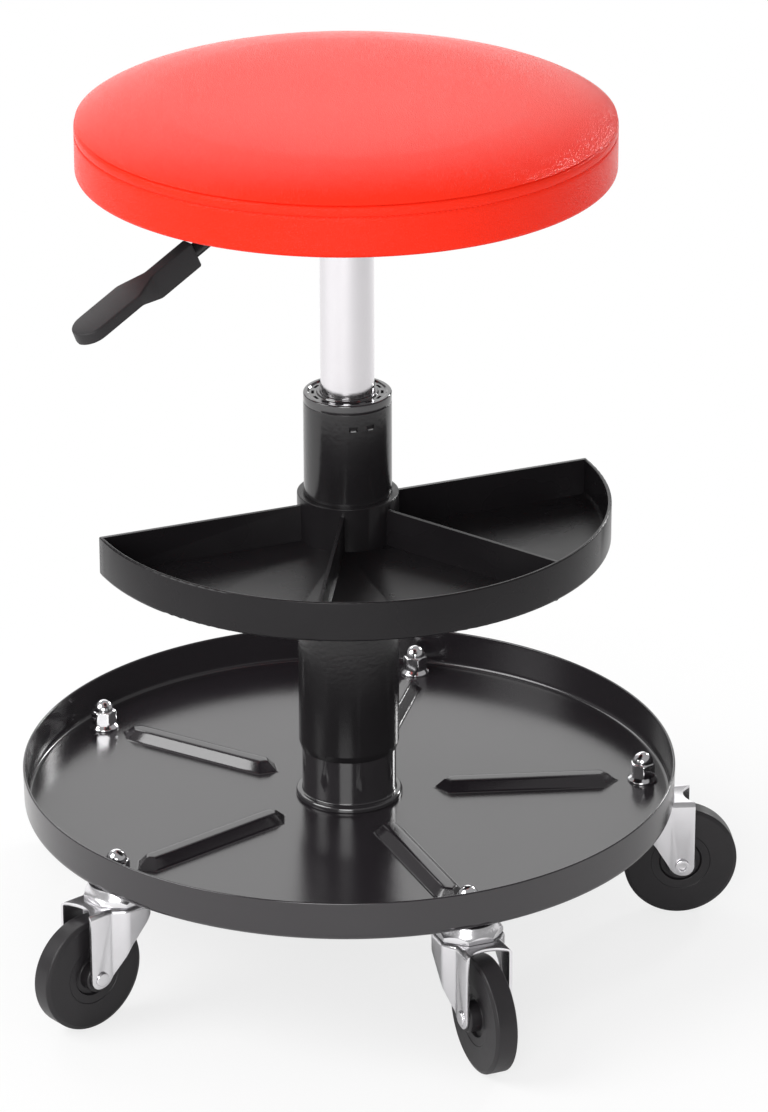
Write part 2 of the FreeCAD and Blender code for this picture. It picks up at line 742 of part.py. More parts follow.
def seat_plate():
    """Pressed plate under the board, dished to carry the tapered socket."""
    body = new_body("seat_plate")
    half = s.plate_side / 2
    flange = new_sketch(body, "plate_outline", "XY_Plane", plate_low)
    outline(flange, [(x, y, s.plate_round) for x, y in rectangle(-half, -half, half, half)])
    circle(flange, 0, 0, s.dish_radius - s.plate_sheet / 2)
    for x, y in square_corners():
        circle(flange, x, y, s.bolt_radius + s.bolt_room)
    padded(body, "plate_flange", flange, s.plate_sheet)
    bottom = s.dish_radius - s.dish_draft
    revolved(body, "plate_dish", [
        (s.socket_radius, dish_low),
        (bottom, dish_low, s.dish_round),
        (s.dish_radius, plate_top),
        (s.dish_radius - s.plate_sheet, plate_top),
        (bottom - s.plate_sheet, dish_floor, s.dish_round - s.plate_sheet),
        (s.socket_radius, dish_floor),
    ])
    slot = new_sketch(body, "plate_slot_outline", "YZ_Plane")
    half_slot = s.lever_slot_width / 2
    outline(slot, rectangle(-half_slot, lever_height - s.lever_slot_drop, half_slot, plate_low))
    pocketed(body, "plate_slot", slot, s.dish_radius + s.overrun, forward=True)
    kept(place(body, turn=s.lever_heading), "seat_plate")


def cone_socket():
    """Tapered socket, welded in the dish, that sits on the cylinder's cone."""
    turned("cone_socket", [
        (s.cylinder_radius, socket_low),
        (s.socket_radius, socket_low),
        (s.socket_radius, socket_top),
        (s.cylinder_radius - s.cone_draw, socket_top),
    ])


def plate_bolts():
    """Four bolts that hold the seat plate to the board."""
    members = []
    for number, (x, y) in enumerate(square_corners(), 1):
        body = new_body("plate_bolt_%d" % number)
        revolved(body, "bolt_shank_%d" % number, [
            (0, plate_low - s.bolt_head_height / 2),
            (s.bolt_radius, plate_low - s.bolt_head_height / 2),
            (s.bolt_radius, board_top - s.tnut_flange),
            (0, board_top - s.tnut_flange),
        ])
        head = new_sketch(body, "bolt_head_outline_%d" % number, "XY_Plane",
                          plate_low - s.bolt_head_height)
        outline(head, hexagon(s.bolt_head_flats))
        padded(body, "bolt_head_%d" % number, head, s.bolt_head_height)
        turn_x = x * cosine(s.lever_heading) - y * sine(s.lever_heading)
        turn_y = x * sine(s.lever_heading) + y * cosine(s.lever_heading)
        members.append(place(body, turn_x, turn_y, 0, s.lever_heading))
    group("plate_bolts", members)


def t_nuts():
    """Four nuts let into the top of the board."""
    members = []
    flange_low = board_top - s.tnut_flange
    for number, (x, y) in enumerate(square_corners(), 1):
        body = new_body("t_nut_%d" % number)
        revolved(body, "t_nut_turned_%d" % number, [
            (s.bolt_radius, flange_low - s.tnut_barrel),
            (s.tnut_barrel_radius, flange_low - s.tnut_barrel),
            (s.tnut_barrel_radius, flange_low),
            (s.tnut_flange_radius, flange_low),
            (s.tnut_flange_radius, board_top),
            (s.bolt_radius, board_top),
        ])
        turn_x = x * cosine(s.lever_heading) - y * sine(s.lever_heading)
        turn_y = x * sine(s.lever_heading) + y * cosine(s.lever_heading)
        members.append(place(body, turn_x, turn_y, 0, s.lever_heading))
    group("t_nuts", members)


def lever_bracket():
    """Channel in the dish whose cheeks hold the lever's pivot."""
    body = new_body("lever_bracket")
    inside = s.barrel_width / 2 + s.bracket_gap
    half = inside + s.bracket_sheet
    left = s.pivot_reach - s.bracket_length / 2
    right = s.pivot_reach + s.bracket_length / 2
    block = new_sketch(body, "bracket_outline", "XY_Plane", dish_floor)
    outline(block, rectangle(left, -half, right, half))
    high = lever_height + s.bracket_rise
    padded(body, "bracket_block", block, high - dish_floor)
    channel = new_sketch(body, "bracket_channel_outline", "YZ_Plane")
    channel_low = dish_floor + s.bracket_sheet
    outline(channel, rectangle(-inside, channel_low, inside, high + s.overrun))
    pocketed(body, "bracket_channel", channel, right + s.overrun, forward=True)
    hole = new_sketch(body, "bracket_hole_outline", "XZ_Plane")
    circle(hole, s.pivot_reach, lever_height, s.pivot_radius)
    pocketed(body, "bracket_hole", hole, 2 * half + s.overrun, both_sides=True)
    kept(place(body, turn=s.lever_heading), "lever_bracket")


def lever_pivot():
    """Pin through the cheeks and the lever's cross tube."""
    body = new_body("lever_pivot")
    sketch = new_sketch(body, "pivot_outline", "XZ_Plane")
    circle(sketch, s.pivot_reach, lever_height, s.pivot_radius)
    length = s.barrel_width + 2 * s.bracket_gap + 2 * s.bracket_sheet
    padded(body, "pivot_pin", sketch, length, both_sides=True)
    kept(place(body, turn=s.lever_heading), "lever_pivot")


def lever_rod():
    """Bent rod: over the button, through the bracket and down to the handle."""
    body = new_body("lever_rod")
    path = new_sketch(body, "rod_path", "XZ_Plane")
    end_x = s.lever_bend_reach + s.lever_tail * cosine(s.lever_droop)
    end_z = lever_height - s.lever_tail * sine(s.lever_droop)
    outline(path, [
        (-s.lever_inner, lever_height),
        (s.lever_bend_reach, lever_height, s.lever_bend_round),
        (end_x, end_z),
    ], closed=False)
    section = new_sketch(body, "rod_section", "YZ_Plane", -s.lever_inner)
    circle(section, 0, lever_height, s.lever_rod_radius)
    pipe = feature(body, "AdditivePipe", "rod_pipe", section)
    pipe.Spine = (path, [])
    barrel = new_sketch(body, "barrel_outline", "XZ_Plane")
    circle(barrel, s.pivot_reach, lever_height, s.barrel_radius)
    padded(body, "barrel", barrel, s.barrel_width, both_sides=True)
    bore = new_sketch(body, "barrel_bore_outline", "XZ_Plane")
    circle(bore, s.pivot_reach, lever_height, s.pivot_radius + s.pivot_room)
    pocketed(body, "barrel_bore", bore, s.barrel_width + s.overrun, both_sides=True)
    return kept(place(body, turn=s.lever_heading), "lever_rod")


def along_handle(reach, rise):
    """A place on the drooping handle: so far along it and above its middle."""
    along = s.handle_start + reach
    x = s.lever_bend_reach + along * cosine(s.lever_droop) + rise * sine(s.lever_droop)
    z = lever_height - along * sine(s.lever_droop) + rise * cosine(s.lever_droop)
    return x, z


def lever_handle(rod):
    """Moulded paddle on the rod: an upright neck and a broad, thin blade. Its
    top is one flat face from end to end."""
    body = new_body("handle_blank")
    neck = s.handle_neck_height / 2
    under_blade = neck - s.handle_blade
    taper_end = s.handle_neck_length + s.handle_taper_length
    side = new_sketch(body, "handle_side", "XZ_Plane")
    outline(side, [
        along_handle(0, neck),
        along_handle(s.handle_length, neck) + (s.handle_edge_round,),
        along_handle(s.handle_length, under_blade) + (s.handle_edge_round,),
        along_handle(taper_end, under_blade),
        along_handle(s.handle_neck_length, -neck),
        along_handle(0, -neck),
    ])
    padded(body, "handle_block", side, s.handle_width, both_sides=True)
    high = lever_height + s.handle_neck_height
    low = along_handle(s.handle_length, -neck)[1]
    plan = new_sketch(body, "handle_plan", "XY_Plane", high)
    half = s.handle_width / 2
    neck_half = s.handle_neck_width / 2
    start = along_handle(0, neck)[0] - s.overrun
    slope_start = along_handle(s.handle_neck_length, 0)[0]
    slope_end = along_handle(taper_end, 0)[0]
    tip = along_handle(s.handle_length, 0)[0]
    outside = half + s.overrun
    outline(plan, [
        (start, neck_half),
        (slope_start, neck_half),
        (slope_end, half),
        (tip, half, s.handle_tip_round),
        (tip, -half, s.handle_tip_round),
        (slope_end, -half),
        (slope_start, -neck_half),
        (start, -neck_half),
        (start, -outside),
        (tip + s.overrun, -outside),
        (tip + s.overrun, outside),
        (start, outside),
    ])
    pocketed(body, "handle_sides", plan, high - low)
    place(body, turn=s.lever_heading)
    handle = doc.addObject("Part::Cut", "lever_handle")
    handle.Base = body
    handle.Tool = rod
    kept(handle, "lever_handle")


def release_button():
    """Button in the cylinder's cap that the lever rod presses."""
    collar_high = socket_top - s.cylinder_cap - s.button_gap
    top = lever_height - s.lever_rod_radius - s.button_gap
    turned("release_button", [
        (0, collar_high - s.button_collar),
        (s.button_collar_radius, collar_high - s.button_collar),
        (s.button_collar_radius, collar_high),
        (s.button_radius, collar_high),
        (s.button_radius, top, s.button_round),
        (0, top),
    ])


def cylinder_tube():
    """Bright cylinder with a closed, tapered top."""
    cap_low = socket_top - s.cylinder_cap
    hole = s.button_radius + s.button_room
    turned("cylinder_tube", [
        (cylinder_bore, cylinder_low),
        (s.cylinder_radius, cylinder_low),
        (s.cylinder_radius, socket_low),
        (s.cylinder_radius - s.cone_draw, socket_top),
        (hole, socket_top),
        (hole, cap_low),
        (cylinder_bore, cap_low),
    ])


def cylinder_guide():
    """Guide of the piston rod in the cylinder's lower end."""
    turned("cylinder_guide", ring(s.rod_radius + s.rod_room, cylinder_bore,
                                  cylinder_low, cylinder_low + s.guide_length))


def piston_rod():
    """Rod that stays in the column, with a shoulder and a groove for its clip."""
    groove = s.rod_radius - s.clip_groove
    shoulder_top = bumper_top + s.rod_shoulder
    turned("piston_rod", [
        (0, rod_low),
        (s.rod_radius, rod_low),
        (s.rod_radius, clip_top - s.clip_thickness),
        (groove, clip_top - s.clip_thickness),
        (groove, clip_top),
        (s.rod_radius, clip_top),
        (s.rod_radius, bumper_top),
        (s.rod_shoulder_radius, bumper_top),
        (s.rod_shoulder_radius, shoulder_top),
        (s.rod_radius, shoulder_top),
        (s.rod_radius, rod_top),
        (0, rod_top),
    ])


def piston():
    """Piston near the rod's upper end."""
    high = rod_top - s.piston_tip
    turned("piston", ring(s.rod_radius, cylinder_bore - s.piston_room,
                          high - s.piston_length, high))


def rubber_bumper():
    """Rubber ring under the rod's shoulder."""
    turned("rubber_bumper", [
        (s.rod_radius, upper_race_top),
        (s.bumper_radius, upper_race_top, s.bumper_round),
        (s.bumper_radius, bumper_top, s.bumper_round),
        (s.rod_radius, bumper_top),
    ])


def thrust_bearing():
    """Two races and the balls between them, on the column's foot."""
    turned("bearing_upper_race", ring(s.rod_radius, s.race_radius,
                                      upper_race_low, upper_race_top))
    turned("bearing_lower_race", ring(s.rod_radius + s.race_room, s.race_radius,
                                      foot_top, lower_race_top))
    members = []
    for number in range(s.count("ball_count")):
        ball = doc.addObject("Part::Sphere", "bearing_ball_%d" % (number + 1))
        bind(ball, "Radius", s.ball_radius)
        x, y = on_circle(s.ball_circle, number * FULL_TURN / s.ball_count)
        members.append(place(ball, x, y, lower_race_top + s.ball_gap + s.ball_radius))
    group("bearing_balls", members)


def rod_clip():
    """Open clip in the rod's groove, under the column's foot."""
    body = new_body("rod_clip")
    groove = s.rod_radius - s.clip_groove
    low = clip_top - s.clip_thickness
    revolved(body, "clip_ring", ring(groove, s.clip_radius, low, clip_top))
    mouth = new_sketch(body, "clip_mouth_outline", "XY_Plane", clip_top)
    half = s.clip_opening / 2
    outline(mouth, rectangle(0, -half, s.clip_radius + s.overrun, half))
    pocketed(body, "clip_mouth", mouth, s.clip_thickness + s.overrun)
    kept(body, "rod_clip")


def column_foot():
    """Plate in the column's lower end that the rod passes through."""
    turned("column_foot", ring(s.rod_radius + s.rod_room, column_bore, column_low, foot_top))


def spoke(heading, inner, outer, half):
    """Corners of a straight bar that points away from the axis."""
    corners = []
    for reach, aside in ((inner, -half), (outer, -half), (outer, half), (inner, half)):
        corners.append((reach * cosine(heading) - aside * sine(heading),
                        reach * sine(heading) + aside * cosine(heading)))
    return corners


def column_tube():
    """Outer tube of the gas spring, crimped below its top."""
    body = new_body("column_tube")
    revolved(body, "column_wall", ring(column_bore, s.column_radius, column_low, column_top))
    high = column_top - s.crimp_drop + s.crimp_height / 2
    inner = s.column_radius - s.crimp_depth
    outer = s.column_radius + s.overrun
    for number in range(s.count("crimp_count")):
        name = "crimp_%d" % (number + 1)
        heading = s.crimp_heading + number * s.crimp_spacing
        sketch = new_sketch(body, name + "_outline", "XY_Plane", high)
        outline(sketch, spoke(heading, inner, outer, s.crimp_width / 2))
        pocketed(body, name, sketch, s.crimp_height)
    kept(body, "column_tube")


def column_bushing():
    """Plastic guide in the column, with a slotted ring on the tube's end."""
    body = new_body("column_bushing")
    bore = s.cylinder_radius + s.guide_room
    revolved(body, "guide_body", [
        (bore, column_top - s.guide_barrel),
        (column_bore, column_top - s.guide_barrel),
        (column_bore, column_top),
        (s.column_radius, column_top),
        (s.column_radius, ring_top, s.ring_round),
        (bore, ring_top, s.ring_lead),
    ])
    slot = grooved(body, "guide_slot", rectangle(
        s.slot_inner, ring_top - s.slot_depth,
        s.slot_inner + s.slot_width, ring_top + s.overrun), s.slot_angle)
    repeated(body, "guide_slots", [slot], s.slot_count)
    kept(body, "column_bushing")


def column_sleeve():
    """Spacer sleeve: it stands on the base tube and carries the tray."""
    bore = tube_radius + s.column_room
    turned("column_sleeve", [
        (sleeve_bore, sleeve_top),
        (s.sleeve_radius, sleeve_top, s.sleeve_round),
        (s.sleeve_radius, sleeve_low + s.sleeve_lead),
        (bore + s.sleeve_edge, sleeve_low),
        (bore, sleeve_low),
        (bore, tube_top),
        (sleeve_bore, tube_top),
    ])


def spoke(heading, inner, outer, half):
    """Corners of a straight bar that points away from the axis."""
    corners = []
    for reach, aside in ((inner, -half), (outer, -half), (outer, half), (inner, half)):
        corners.append((reach * cosine(heading) - aside * sine(heading),
                        reach * sine(heading) + aside * cosine(heading)))
    return corners


def tool_tray():
    """Half-moon tray with two dividers and a collar round the column."""
    body = new_body("tool_tray")
    inside = s.tray_radius - s.tray_wall
    revolved(body, "tray_cup", [
        (0, tray_low),
        (s.tray_radius, tray_low, s.tray_round),
        (s.tray_radius, tray_rim, s.tray_rim_round),
        (inside, tray_rim, s.tray_rim_round),
        (inside, tray_floor, s.tray_round),
        (0, tray_floor),
    ])
    far = s.tray_radius + s.overrun
    cut = new_sketch(body, "tray_cut_outline", "XY_Plane", tray_rim + s.overrun)
    outline(cut, rectangle(-far, s.tray_back, far, far))
    pocketed(body, "tray_cut", cut, s.tray_depth + 2 * s.overrun)
    wall_end = s.tray_radius - s.tray_wall / 2
    back = new_sketch(body, "tray_back_outline", "XY_Plane", tray_low)
    outline(back, rectangle(-wall_end, s.tray_back - s.tray_wall, wall_end, s.tray_back))
    padded(body, "tray_back_wall", back, s.tray_depth)
    for number, sign in enumerate((-1, 1), 1):
        sketch = new_sketch(body, "divider_outline_%d" % number, "XY_Plane", tray_low)
        heading = TRAY_MIDDLE + sign * s.divider_spread
        outline(sketch, spoke(heading, s.column_radius, wall_end, s.divider_thickness / 2))
        padded(body, "divider_%d" % number, sketch, s.tray_depth)
    revolved(body, "tray_collar", [
        (0, tray_low),
        (s.collar_radius, tray_low),
        (s.collar_radius, collar_top, s.collar_round),
        (0, collar_top),
    ])
    bore = new_sketch(body, "tray_bore_outline", "XY_Plane", collar_top + s.overrun)
    circle(bore, 0, 0, sleeve_bore)
    pocketed(body, "tray_bore", bore, collar_top - tray_low + 2 * s.overrun)
    kept(place(body, turn=s.tray_heading), "tool_tray")


def rib_corners(half, inset):
    """A long hexagon with a point at each end."""
    inner = s.rib_inner + inset
    outer = s.pan_radius - s.rib_inset - inset
    return [
        (inner, 0),
        (inner + s.rib_point, -half),
        (outer - s.rib_point, -half),
        (outer, 0),
        (outer - s.rib_point, half),
        (inner + s.rib_point, half),
    ]


def base_pan():
    """Pressed round pan with five pointed ribs and holes for the stems."""
    body = new_body("base_pan")
    low_radius = s.pan_radius - s.pan_lean
    revolved(body, "pan_sheet_form", [
        (tube_radius, pan_low),
        (low_radius, pan_low, s.pan_round),
        (s.pan_radius, pan_rim, s.pan_rim_round),
        (s.pan_radius - s.pan_sheet, pan_rim, s.pan_rim_round),
        (low_radius - s.pan_sheet, pan_floor, s.pan_round - s.pan_sheet),
        (tube_radius, pan_floor),
    ])
    rib_outline = new_sketch(body, "rib_outline", "XY_Plane", pan_floor)
    outline(rib_outline, rib_corners(s.rib_width / 2, 0))
    rib = padded(body, "rib", rib_outline, s.rib_height)
    bind(rib, "TaperAngle", -s.rib_slope)
    hollow_outline = new_sketch(body, "rib_hollow_outline", "XY_Plane", pan_low)
    outline(hollow_outline, rib_corners(s.rib_width / 2 - s.pan_sheet, s.pan_sheet))
    hollow = pocketed(body, "rib_hollow", hollow_outline, s.rib_height, forward=True)
    bind(hollow, "TaperAngle", -s.rib_slope)
    hole_outline = new_sketch(body, "stem_hole_outline", "XY_Plane", pan_floor + s.overrun)
    circle(hole_outline, caster_circle, 0, s.stem_radius)
    hole = pocketed(body, "stem_hole", hole_outline, s.pan_sheet + 2 * s.overrun)
    repeated(body, "pan_repeats", [rib, hollow, hole], s.caster_count)
    kept(place(body, turn=s.caster_heading), "base_pan")


def base_tube():
    """Tube through the pan, with a bead on the floor and a lip inside."""
    turned("base_tube", [
        (sleeve_bore, tube_top),
        (sleeve_bore, column_low),
        (sleeve_bore - s.tube_lip_width, column_low),
        (sleeve_bore - s.tube_lip_width, tube_low),
        (tube_radius, tube_low),
        (tube_radius, pan_floor),
        (tube_radius + s.bead_width, pan_floor),
        (tube_radius + s.bead_width, pan_floor + s.bead_height, s.bead_round),
        (tube_radius, pan_floor + s.bead_height),
        (tube_radius, tube_top),
    ])


def hub_flange():
    """Stiffening plate under the pan, round the tube."""
    turned("hub_flange", ring(tube_radius, s.hub_radius, pan_low - s.hub_thickness, pan_low))


def caster_headings():
    step = FULL_TURN / s.caster_count
    return [s.caster_heading + number * step for number in range(s.count("caster_count"))]


def cap_nuts():
    """Flanged cap nuts on the stems, inside the pan."""
    members = []
    for number, heading in enumerate(caster_headings(), 1):
        body = new_body("cap_nut_%d" % number)
        top = pan_floor + s.nut_height
        hex_top = pan_floor + s.nut_hex_height
        revolved(body, "nut_turned_%d" % number, [
            (0, pan_floor),
            (s.nut_flange_radius, pan_floor),
            (s.nut_flange_radius, pan_floor + s.nut_flange),
            (s.nut_dome_radius, pan_floor + s.nut_flange_rise),
            (s.nut_dome_radius, top, s.nut_dome_round),
            (0, top),
        ])
        flats = new_sketch(body, "nut_flats_outline_%d" % number, "XY_Plane",
                           pan_floor + s.nut_flange)
        outline(flats, hexagon(s.nut_flats))
        padded(body, "nut_flats_%d" % number, flats, hex_top - pan_floor - s.nut_flange)
        thread = new_sketch(body, "nut_thread_outline_%d" % number, "XY_Plane", pan_floor)
        circle(thread, 0, 0, s.stem_radius)
        pocketed(body, "nut_thread_%d" % number, thread, s.nut_bore_depth, forward=True)
        x, y = on_circle(caster_circle, heading)
        members.append(place(body, x, y, 0, heading))
    group("cap_nuts", members)


def swivel_balls():
    """Balls between each caster's cup and its fork."""
    members = []
    circle_radius = s.cup_race_inner + s.cup_race_width / 2
    step = FULL_TURN / s.swivel_ball_count
    for number, heading in enumerate(caster_headings(), 1):
        stem_x, stem_y = on_circle(caster_circle, heading)
        for index in range(s.count("swivel_ball_count")):
            ball = doc.addObject("Part::Sphere", "swivel_ball_%d_%d" % (number, index + 1))
            bind(ball, "Radius", s.swivel_ball_radius)
            x, y = on_circle(circle_radius, index * step)
            place(ball, stem_x + x, stem_y + y, fork_top + s.swivel_ball_gap
                  + s.swivel_ball_radius)
            members.append(ball)
    group("swivel_balls", members)


def caster_stem(number, heading):
    """Kingpin, eight-sided ball cup and threaded stem of one caster."""
    name = "caster_stem_%d" % number
    body = new_body(name)
    head_top = fork_top - s.fork_sheet - s.swivel_gap
    head_low = head_top - s.kingpin_head
    stem_top = pan_floor + s.stem_above
    inside_cup = cup_low + s.cup_race_depth
    revolved(body, "stem_turned_%d" % number, [
        (0, head_low),
        (s.kingpin_head_radius, head_low, s.kingpin_round),
        (s.kingpin_head_radius, head_top),
        (s.kingpin_radius, head_top),
        (s.kingpin_radius, inside_cup),
        (s.stem_radius, inside_cup),
        (s.stem_radius, stem_top),
        (0, stem_top),
    ])
    flats = new_sketch(body, "cup_outline_%d" % number, "XY_Plane", cup_low)
    outline(flats, octagon(s.cup_flats))
    padded(body, "cup_%d" % number, flats, s.cup_height)
    grooved(body, "cup_race_%d" % number, rectangle(
        s.cup_race_inner, cup_low - s.swivel_gap / 2,
        s.cup_race_inner + s.cup_race_width, inside_cup))
    apothem = s.cup_flats / 2
    corner = apothem / cosine(FULL_TURN / 16)
    outside = corner + s.overrun
    grooved(body, "cup_shoulder_%d" % number, [
        (apothem - s.cup_lean, pan_low + s.overrun),
        (apothem - s.cup_lean, pan_low),
        (apothem, cup_low + s.cup_side_height),
        (corner, cup_low + s.cup_corner_height),
        (outside, cup_low + s.cup_corner_height),
        (outside, pan_low + s.overrun),
    ])
    x, y = on_circle(caster_circle, heading)
    kept(place(body, x, y, 0, heading), name)


def fork_plan(front, crease, inset):
    """The fork from above: straight past the crease, wider round the stem."""
    half = s.fork_width / 2 - inset
    crown_half = s.fork_crown_width / 2 - inset
    back_half = s.fork_back_width / 2 - inset / 2
    back = -s.fork_back + inset
    corner = s.fork_corner - inset
    left = [
        (front, half),
        (crease, half, s.fork_crease_round + inset),
        (s.fork_crown_front, crown_half, s.fork_shoulder - inset),
        (-s.fork_crown_back, crown_half, corner),
        (back, back_half, corner),
    ]
    right = [(c[0], -c[1]) + tuple(c[2:]) for c in left]
    return left + right[::-1]


def top_edges(block, height, front):
    """Names of the plan's edges at a height, but the one across its front."""
    names = []
    for index, edge in enumerate(block.Shape.Edges, 1):
        box = edge.BoundBox
        is_top = abs(box.ZMin - height) < TINY and abs(box.ZMax - height) < TINY
        is_front = abs(box.XMin - front) < TINY
        if is_top and not is_front:
            names.append("Edge%d" % index)
    return names


def caster_fork(number, heading):
    """Pressed fork of one caster: a top plate with two bent-down legs."""
    name = "caster_fork_%d" % number
    body = new_body(name)
    front = s.caster_trail + s.fork_front
    crease = s.caster_trail - s.fork_crease
    low = s.wheel_radius - s.fork_below
    under_plate = fork_top - s.fork_sheet
    plan = new_sketch(body, "fork_plan_%d" % number, "XY_Plane", low)
    outline(plan, fork_plan(front, crease, 0))
    block = padded(body, "fork_block_%d" % number, plan, fork_top - low)
    doc.recompute()
    edges = top_edges(block, value_of(fork_top), value_of(front))
    bend = body.newObject("PartDesign::Fillet", "fork_bend_%d" % number)
    bend.Base = (block, edges)
    bind(bend, "Radius", s.fork_bend)
    inner = new_sketch(body, "fork_inner_%d" % number, "XY_Plane", low)
    outline(inner, fork_plan(front + s.overrun, crease, s.fork_sheet))
    pocketed(body, "fork_hollow_%d" % number, inner, under_plate - low, forward=True)
    half = fork_inside / 2
    mouth_radius = (half * half + s.fork_mouth * s.fork_mouth) / (2 * s.fork_mouth)
    mouth = new_sketch(body, "fork_mouth_outline_%d" % number, "XY_Plane", fork_top + s.overrun)
    circle(mouth, front - s.fork_mouth + mouth_radius, 0, mouth_radius)
    pocketed(body, "fork_mouth_%d" % number, mouth, s.fork_sheet + 2 * s.overrun)
    side = new_sketch(body, "fork_side_%d" % number, "XZ_Plane")
    far = s.fork_back + s.overrun
    outline(side, [
        (front, fork_top + s.overrun),
        (front, low, s.fork_toe),
        (s.caster_trail - s.fork_heel_reach, low, s.fork_heel),
        (s.fork_elbow, fork_top - s.fork_elbow_drop, s.fork_elbow_round),
        (-s.fork_leg_back, fork_top - s.fork_leg_drop),
        (-s.fork_leg_back, under_plate),
        (-far, under_plate),
        (-far, low - s.overrun),
        (front + s.overrun, low - s.overrun),
        (front + s.overrun, fork_top + s.overrun),
    ])
    pocketed(body, "fork_edges_%d" % number, side, s.fork_crown_width + s.overrun,
             both_sides=True)
    kingpin = new_sketch(body, "fork_kingpin_%d" % number, "XY_Plane", fork_top + s.overrun)
    circle(kingpin, 0, 0, s.kingpin_radius + s.kingpin_room)
    pocketed(body, "fork_kingpin_hole_%d" % number, kingpin, s.fork_sheet + 2 * s.overrun)
    axle = new_sketch(body, "fork_axle_%d" % number, "XZ_Plane")
    circle(axle, s.caster_trail, s.wheel_radius, s.axle_radius)
    pocketed(body, "fork_axle_holes_%d" % number, axle, s.fork_width + s.overrun,
             both_sides=True)
    x, y = on_circle(caster_circle, heading)
    kept(place(body, x, y, 0, heading), name)


def place_wheel_part(body, heading):
    """Put a part that is made about the Y axis at its caster's axle."""
    x, y = on_circle(caster_circle + s.caster_trail, heading)
    return place(body, x, y, s.wheel_radius, heading)


def caster_axle(number, heading, side):
    """Rivet through the fork: one domed head, and one rolled and hollow."""
    name = "caster_axle_%d" % number
    body = new_body(name)
    face = s.fork_width / 2
    end = face + s.rivet_head
    revolved(body, "axle_turned_%d" % number, [
        (0, side * end),
        (s.rivet_head_radius, side * end, s.rivet_round),
        (s.rivet_head_radius, side * face),
        (s.axle_radius, side * face),
        (s.axle_radius, -side * face),
        (s.rivet_head_radius, -side * face),
        (s.rivet_head_radius, -side * end),
        (s.rivet_hollow_radius, -side * end),
        (s.rivet_hollow_radius, -side * (end - s.rivet_hollow)),
        (0, -side * (end - s.rivet_hollow)),
    ], "XY_Plane", "Y_Axis")
    kept(place_wheel_part(body, heading), name)


def wheel_bush(number, heading):
    """Bush round the rivet that the wheel turns on."""
    half = fork_inside / 2
    body = turned("wheel_bush_%d" % number,
                  ring(s.axle_radius, s.bush_radius, -half, half), "XY_Plane", "Y_Axis")
    place_wheel_part(body, heading)


def caster_wheel(number, heading):
    """Wheel with a boss in a recess on each face."""
    bore = s.bush_radius + s.bush_room
    boss = s.boss_width / 2
    face = s.wheel_width / 2
    side = [
        (bore, boss),
        (s.boss_radius, boss, s.boss_round),
        (s.boss_radius, face - s.recess_depth),
        (s.recess_radius, face - s.recess_depth),
        (s.recess_radius, face - s.step_depth),
        (s.step_radius, face - s.step_depth),
        (s.step_radius, face),
        (s.wheel_radius, face, s.wheel_round),
    ]
    other = [(c[0], -c[1]) + tuple(c[2:]) for c in side]
    body = turned("caster_wheel_%d" % number, side + other[::-1], "XY_Plane", "Y_Axis")
    place_wheel_part(body, heading)


def casters():
    for number, heading in enumerate(caster_headings(), 1):
        caster_stem(number, heading)
        caster_fork(number, heading)
        caster_axle(number, heading, RIVET_SIDES[(number - 1) % len(RIVET_SIDES)])
        wheel_bush(number, heading)
        caster_wheel(number, heading)


def check_document():
    """Stop if any object failed, cut nothing, or has no sound shape."""
    doc.recompute()
    failed = [t.Name for t in doc.Objects if "Invalid" in t.State or "Error" in t.State]
    if failed:
        raise RuntimeError("failed: " + ", ".join(failed))
    for thing in doc.Objects:
        if thing.TypeId in ("PartDesign::Pocket", "PartDesign::Groove"):
            if thing.BaseFeature.Shape.Volume - thing.Shape.Volume < TINY:
                raise RuntimeError("%s cuts nothing" % thing.Name)
    for thing in sub_parts:
        if thing.Shape.isNull() or not thing.Shape.isValid():
            raise RuntimeError("%s has no sound shape" % thing.Label)


def main():
    seat_top_panel()
    seat_side_band()
    seat_foam()
    seat_board()
    dust_cover()
    cover_staples()
    seat_plate()
    cone_socket()
    plate_bolts()
    t_nuts()
    lever_bracket()
    lever_pivot()
    lever_handle(lever_rod())
    release_button()
    cylinder_tube()
    cylinder_guide()
    piston_rod()
    piston()
    rubber_bumper()
    thrust_bearing()
    rod_clip()
    column_foot()
    column_tube()
    column_bushing()
    column_sleeve()
    tool_tray()
    base_pan()
    base_tube()
    hub_flange()
    cap_nuts()
    swivel_balls()
    casters()
    check_document()
    os.makedirs("parts", exist_ok=True)
    for thing in sub_parts:
        thing.Shape.exportStep(os.path.join("parts", thing.Label + ".step"))
    print("%d sub-parts written" % len(sub_parts))


main()
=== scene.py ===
# %% [markdown]
# # A creeper seat, dressed over its CAD model
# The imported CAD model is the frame: every piece made here is in metres, in
# the same place as the solid that it stands for, and moves with its body.

# %% Load the frame
import math

import bmesh
import bpy
import numpy as np
from mathutils import Matrix, Vector
from mathutils.kdtree import KDTree


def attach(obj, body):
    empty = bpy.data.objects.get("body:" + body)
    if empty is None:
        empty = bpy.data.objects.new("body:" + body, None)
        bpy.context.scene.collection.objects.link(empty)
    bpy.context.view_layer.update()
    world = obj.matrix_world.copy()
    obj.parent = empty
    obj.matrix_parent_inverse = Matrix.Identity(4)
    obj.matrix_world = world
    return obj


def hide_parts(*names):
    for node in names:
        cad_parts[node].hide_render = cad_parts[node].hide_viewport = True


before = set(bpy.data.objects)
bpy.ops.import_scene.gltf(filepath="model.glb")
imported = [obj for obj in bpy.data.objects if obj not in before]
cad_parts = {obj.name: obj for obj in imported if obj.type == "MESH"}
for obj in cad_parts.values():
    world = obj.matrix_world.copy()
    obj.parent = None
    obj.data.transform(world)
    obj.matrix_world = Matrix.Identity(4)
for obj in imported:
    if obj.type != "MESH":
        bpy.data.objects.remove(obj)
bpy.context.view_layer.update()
MM = 0.001

